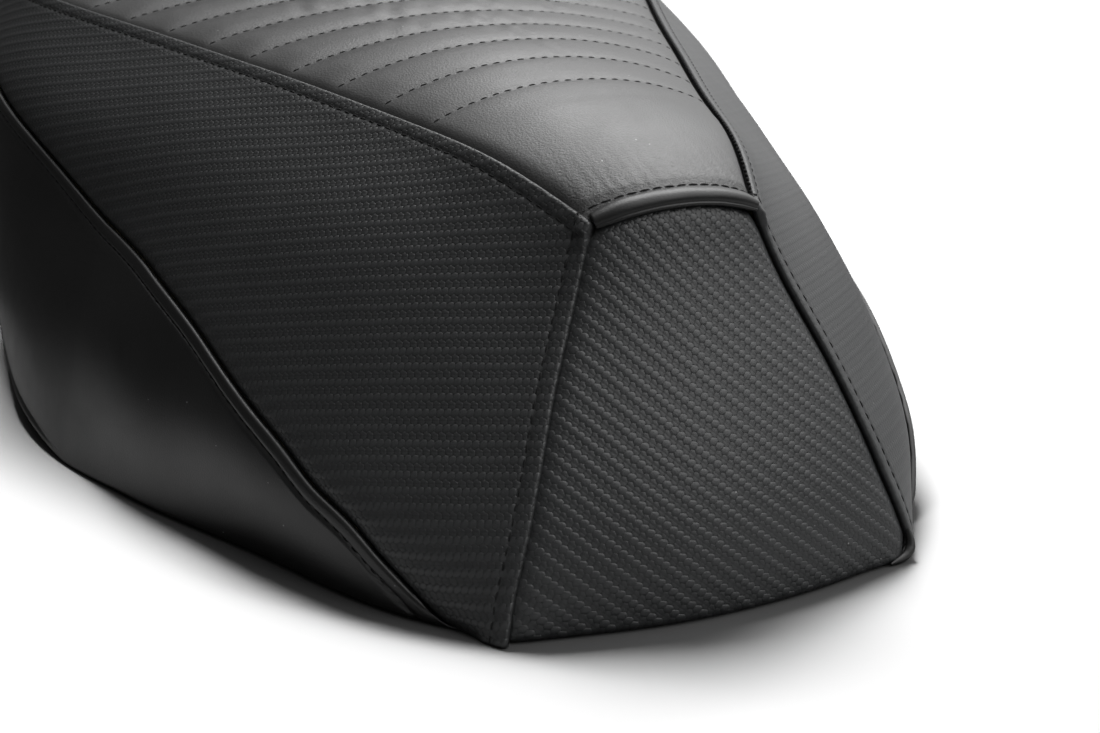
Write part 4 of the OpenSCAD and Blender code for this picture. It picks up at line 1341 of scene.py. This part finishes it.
# ------------------------------------------------------------------ stage
def build_floor():
    """To the camera the floor turns white with distance; to other rays it stays dark."""
    bpy.ops.mesh.primitive_plane_add(size=30, location=(0, 0, min(0.0, CAD_BOX[0][2]) - 0.0002))
    floor = bpy.context.object
    floor.name = "floor"
    material, graph, shader = new_material("floor_white")
    graph.put(shader, {"Base Color": (0.05, 0.05, 0.05, 1), "Roughness": 0.9,
                       "Specular IOR Level": 0.0})
    distance = graph.node("ShaderNodeVectorMath", {0: graph.place()},
                          operation="LENGTH").outputs["Value"]
    bounce = graph.map_range(distance, start=0.24, end=0.48, low=0.0285, high=0.002)
    glow = graph.map_range(distance, start=0.7, end=2.2, low=0.0, high=1.0)
    emission = graph.node("ShaderNodeEmission", {"Strength": glow})
    seen = graph.node("ShaderNodeAddShader", {0: shader.outputs[0], 1: emission.outputs[0]})
    colour = graph.node("ShaderNodeCombineColor", {0: bounce, 1: bounce, 2: bounce})
    diffuse = graph.node("ShaderNodeBsdfDiffuse", {"Color": colour.outputs[0]})
    camera_ray = graph.node("ShaderNodeLightPath").outputs["Is Camera Ray"]
    mixed = graph.node("ShaderNodeMixShader",
                       {0: camera_ray, 1: diffuse.outputs[0], 2: seen.outputs[0]})
    graph.put(graph.tree.nodes["Material Output"], {"Surface": mixed.outputs[0]})
    floor.data.materials.append(material)
    return floor


# glows of the surroundings: direction, cosine at the outer edge, cosine at full, strength
GLOWS = [((0.42, 0.20, 0.88), 0.60, 0.97, 2.1),        # ceiling
         ((0.65, 0.72, 0.15), 0.84, 0.98, 0.40),       # bright wall behind, to the right
         ((0.45, -0.52, 0.70), 0.76, 0.98, 2.5),       # window in front, to the right
         ((-0.70, -0.25, 0.62), 0.70, 0.98, 0.11),     # high on the left
         ((0.95, 0.10, 0.25), 0.60, 0.98, 0.80),       # right
         ((0.40, -0.90, 0.18), 0.85, 0.98, 0.48)]      # low in front
AMBIENT, BACKDROP = 0.075, 1.05


def build_world():
    world = bpy.data.worlds.new("studio")
    bpy.context.scene.world = world
    world.use_nodes = True
    graph = Graph(world.node_tree)
    direction = graph.place("Generated")
    light = AMBIENT
    for towards, outer, full, strength in GLOWS:
        cosine = graph.node("ShaderNodeVectorMath", {0: direction, 1: Vector(towards).normalized()},
                            operation="DOT_PRODUCT").outputs["Value"]
        light = graph.plus(light, graph.map_range(cosine, outer, full, 0.0, strength,
                                                  interpolation_type="SMOOTHSTEP"))
    camera_ray = graph.node("ShaderNodeLightPath").outputs["Is Camera Ray"]
    mix = graph.node("ShaderNodeMix", {0: camera_ray, 2: light, 3: BACKDROP}, data_type="FLOAT")
    graph.put(world.node_tree.nodes["Background"],
              {"Color": (1, 1, 1, 1), "Strength": mix.outputs[0]})


def add_softbox(name, location, target, width, depth, energy):
    light = bpy.data.lights.new(name, "AREA")
    light.energy = energy
    light.shape = "RECTANGLE"
    light.size = width
    light.size_y = depth
    lamp = bpy.data.objects.new(name, light)
    bpy.context.scene.collection.objects.link(lamp)
    lamp.location = location
    aim = Vector(target) - Vector(location)
    lamp.rotation_euler = aim.to_track_quat("-Z", "Y").to_euler()
    return lamp


def build_lights(floor):
    add_softbox("softbox_top", location=(0.50, 0.50, 1.15), target=(0.0, 0.0, 0.1),
                width=1.0, depth=0.8, energy=12)
    rear = add_softbox("softbox_rear", location=(0.23, 1.14, 2.15), target=(0.0, 0.0, 0.0),
                       width=0.9, depth=0.6, energy=1420)
    floor_only = bpy.data.collections.new("floor_only")       # the rear box lights nothing else
    floor_only.objects.link(floor)
    rear.light_linking.receiver_collection = floor_only


def build_camera():
    """Looks from the front left, slightly down."""
    azimuth, elevation = math.radians(25.4686), math.radians(18.1461)
    location = Vector((-0.249715, -0.430955 - NOSE_AHEAD / 1000, 0.230883))
    right = Vector((math.cos(azimuth), -math.sin(azimuth), 0))
    forward = Vector((math.sin(azimuth) * math.cos(elevation),
                      math.cos(azimuth) * math.cos(elevation), -math.sin(elevation)))
    turn = Matrix((right, right.cross(forward), -forward)).transposed()
    lens = bpy.data.cameras.new("camera")
    camera = bpy.data.objects.new("camera", lens)
    focus = bpy.data.objects.new("focus", None)
    for item in (camera, focus):
        bpy.context.scene.collection.objects.link(item)
    camera.matrix_world = Matrix.Translation(location) @ turn.to_4x4()
    focus.location = (-0.02, 0.02, 0.13)
    lens.sensor_width = 36.0
    lens.lens = 52.3636364
    lens.clip_start = 0.01
    lens.dof.use_dof = True
    lens.dof.focus_object = focus
    lens.dof.aperture_fstop = 20.0
    bpy.context.scene.camera = camera


# ------------------------------------------------------------------ build
side_rows, welt = build_side_panels()
panel_rows = side_rows + build_lower_panels()
tail_rows = build_tail_panel()
build_nose_panel()

rider_pillows = pillion_pillows = None
rider_pillows = quilt(RIDER_ROWS, 52.0, STEP_FRONT - 3, 1.0)
pillion_pillows = quilt(PILLION_ROWS[PILLION_ROWS < 600], STEP_BACK + 3, 580.0, PILLION_DEPTH)
rider_rows, piping_row = build_rider_cover(rider_pillows)
step_row = build_step_panel()
pillion_rows, pillion_front = build_pillion_cover(pillion_pillows)
build_nose_piping()
build_corner_tuck()

sew("row_sewing", "smooth_vinyl", rider_rows + pillion_rows, length=0.70, radius=0.27, lift=0.04)
sew("nose_sewing", "smooth_vinyl",
    [piping_row] + crossing_threads(piping_row, welt, side_rows[1]),
    length=0.90, radius=0.27, lift=0.14)
sew("edge_sewing_right", "smooth_vinyl", [edge_row()], length=0.72, radius=0.55, lift=0.0)
sew("step_sewing", "smooth_vinyl", [step_row, pillion_front] + tail_rows,
    length=0.78, radius=0.40, lift=0.1)
for which in ("right", "left"):
    sew("panel_sewing_" + which, "carbon_vinyl", pulled(panel_rows, which),
        length=0.72, radius=0.27, lift=0.05, mirror=which == "left")

build_foam_core()
paint_cad_parts()
floor = build_floor()
build_world()
build_lights(floor)
build_camera()
bpy.context.scene.view_settings.view_transform = "Standard"
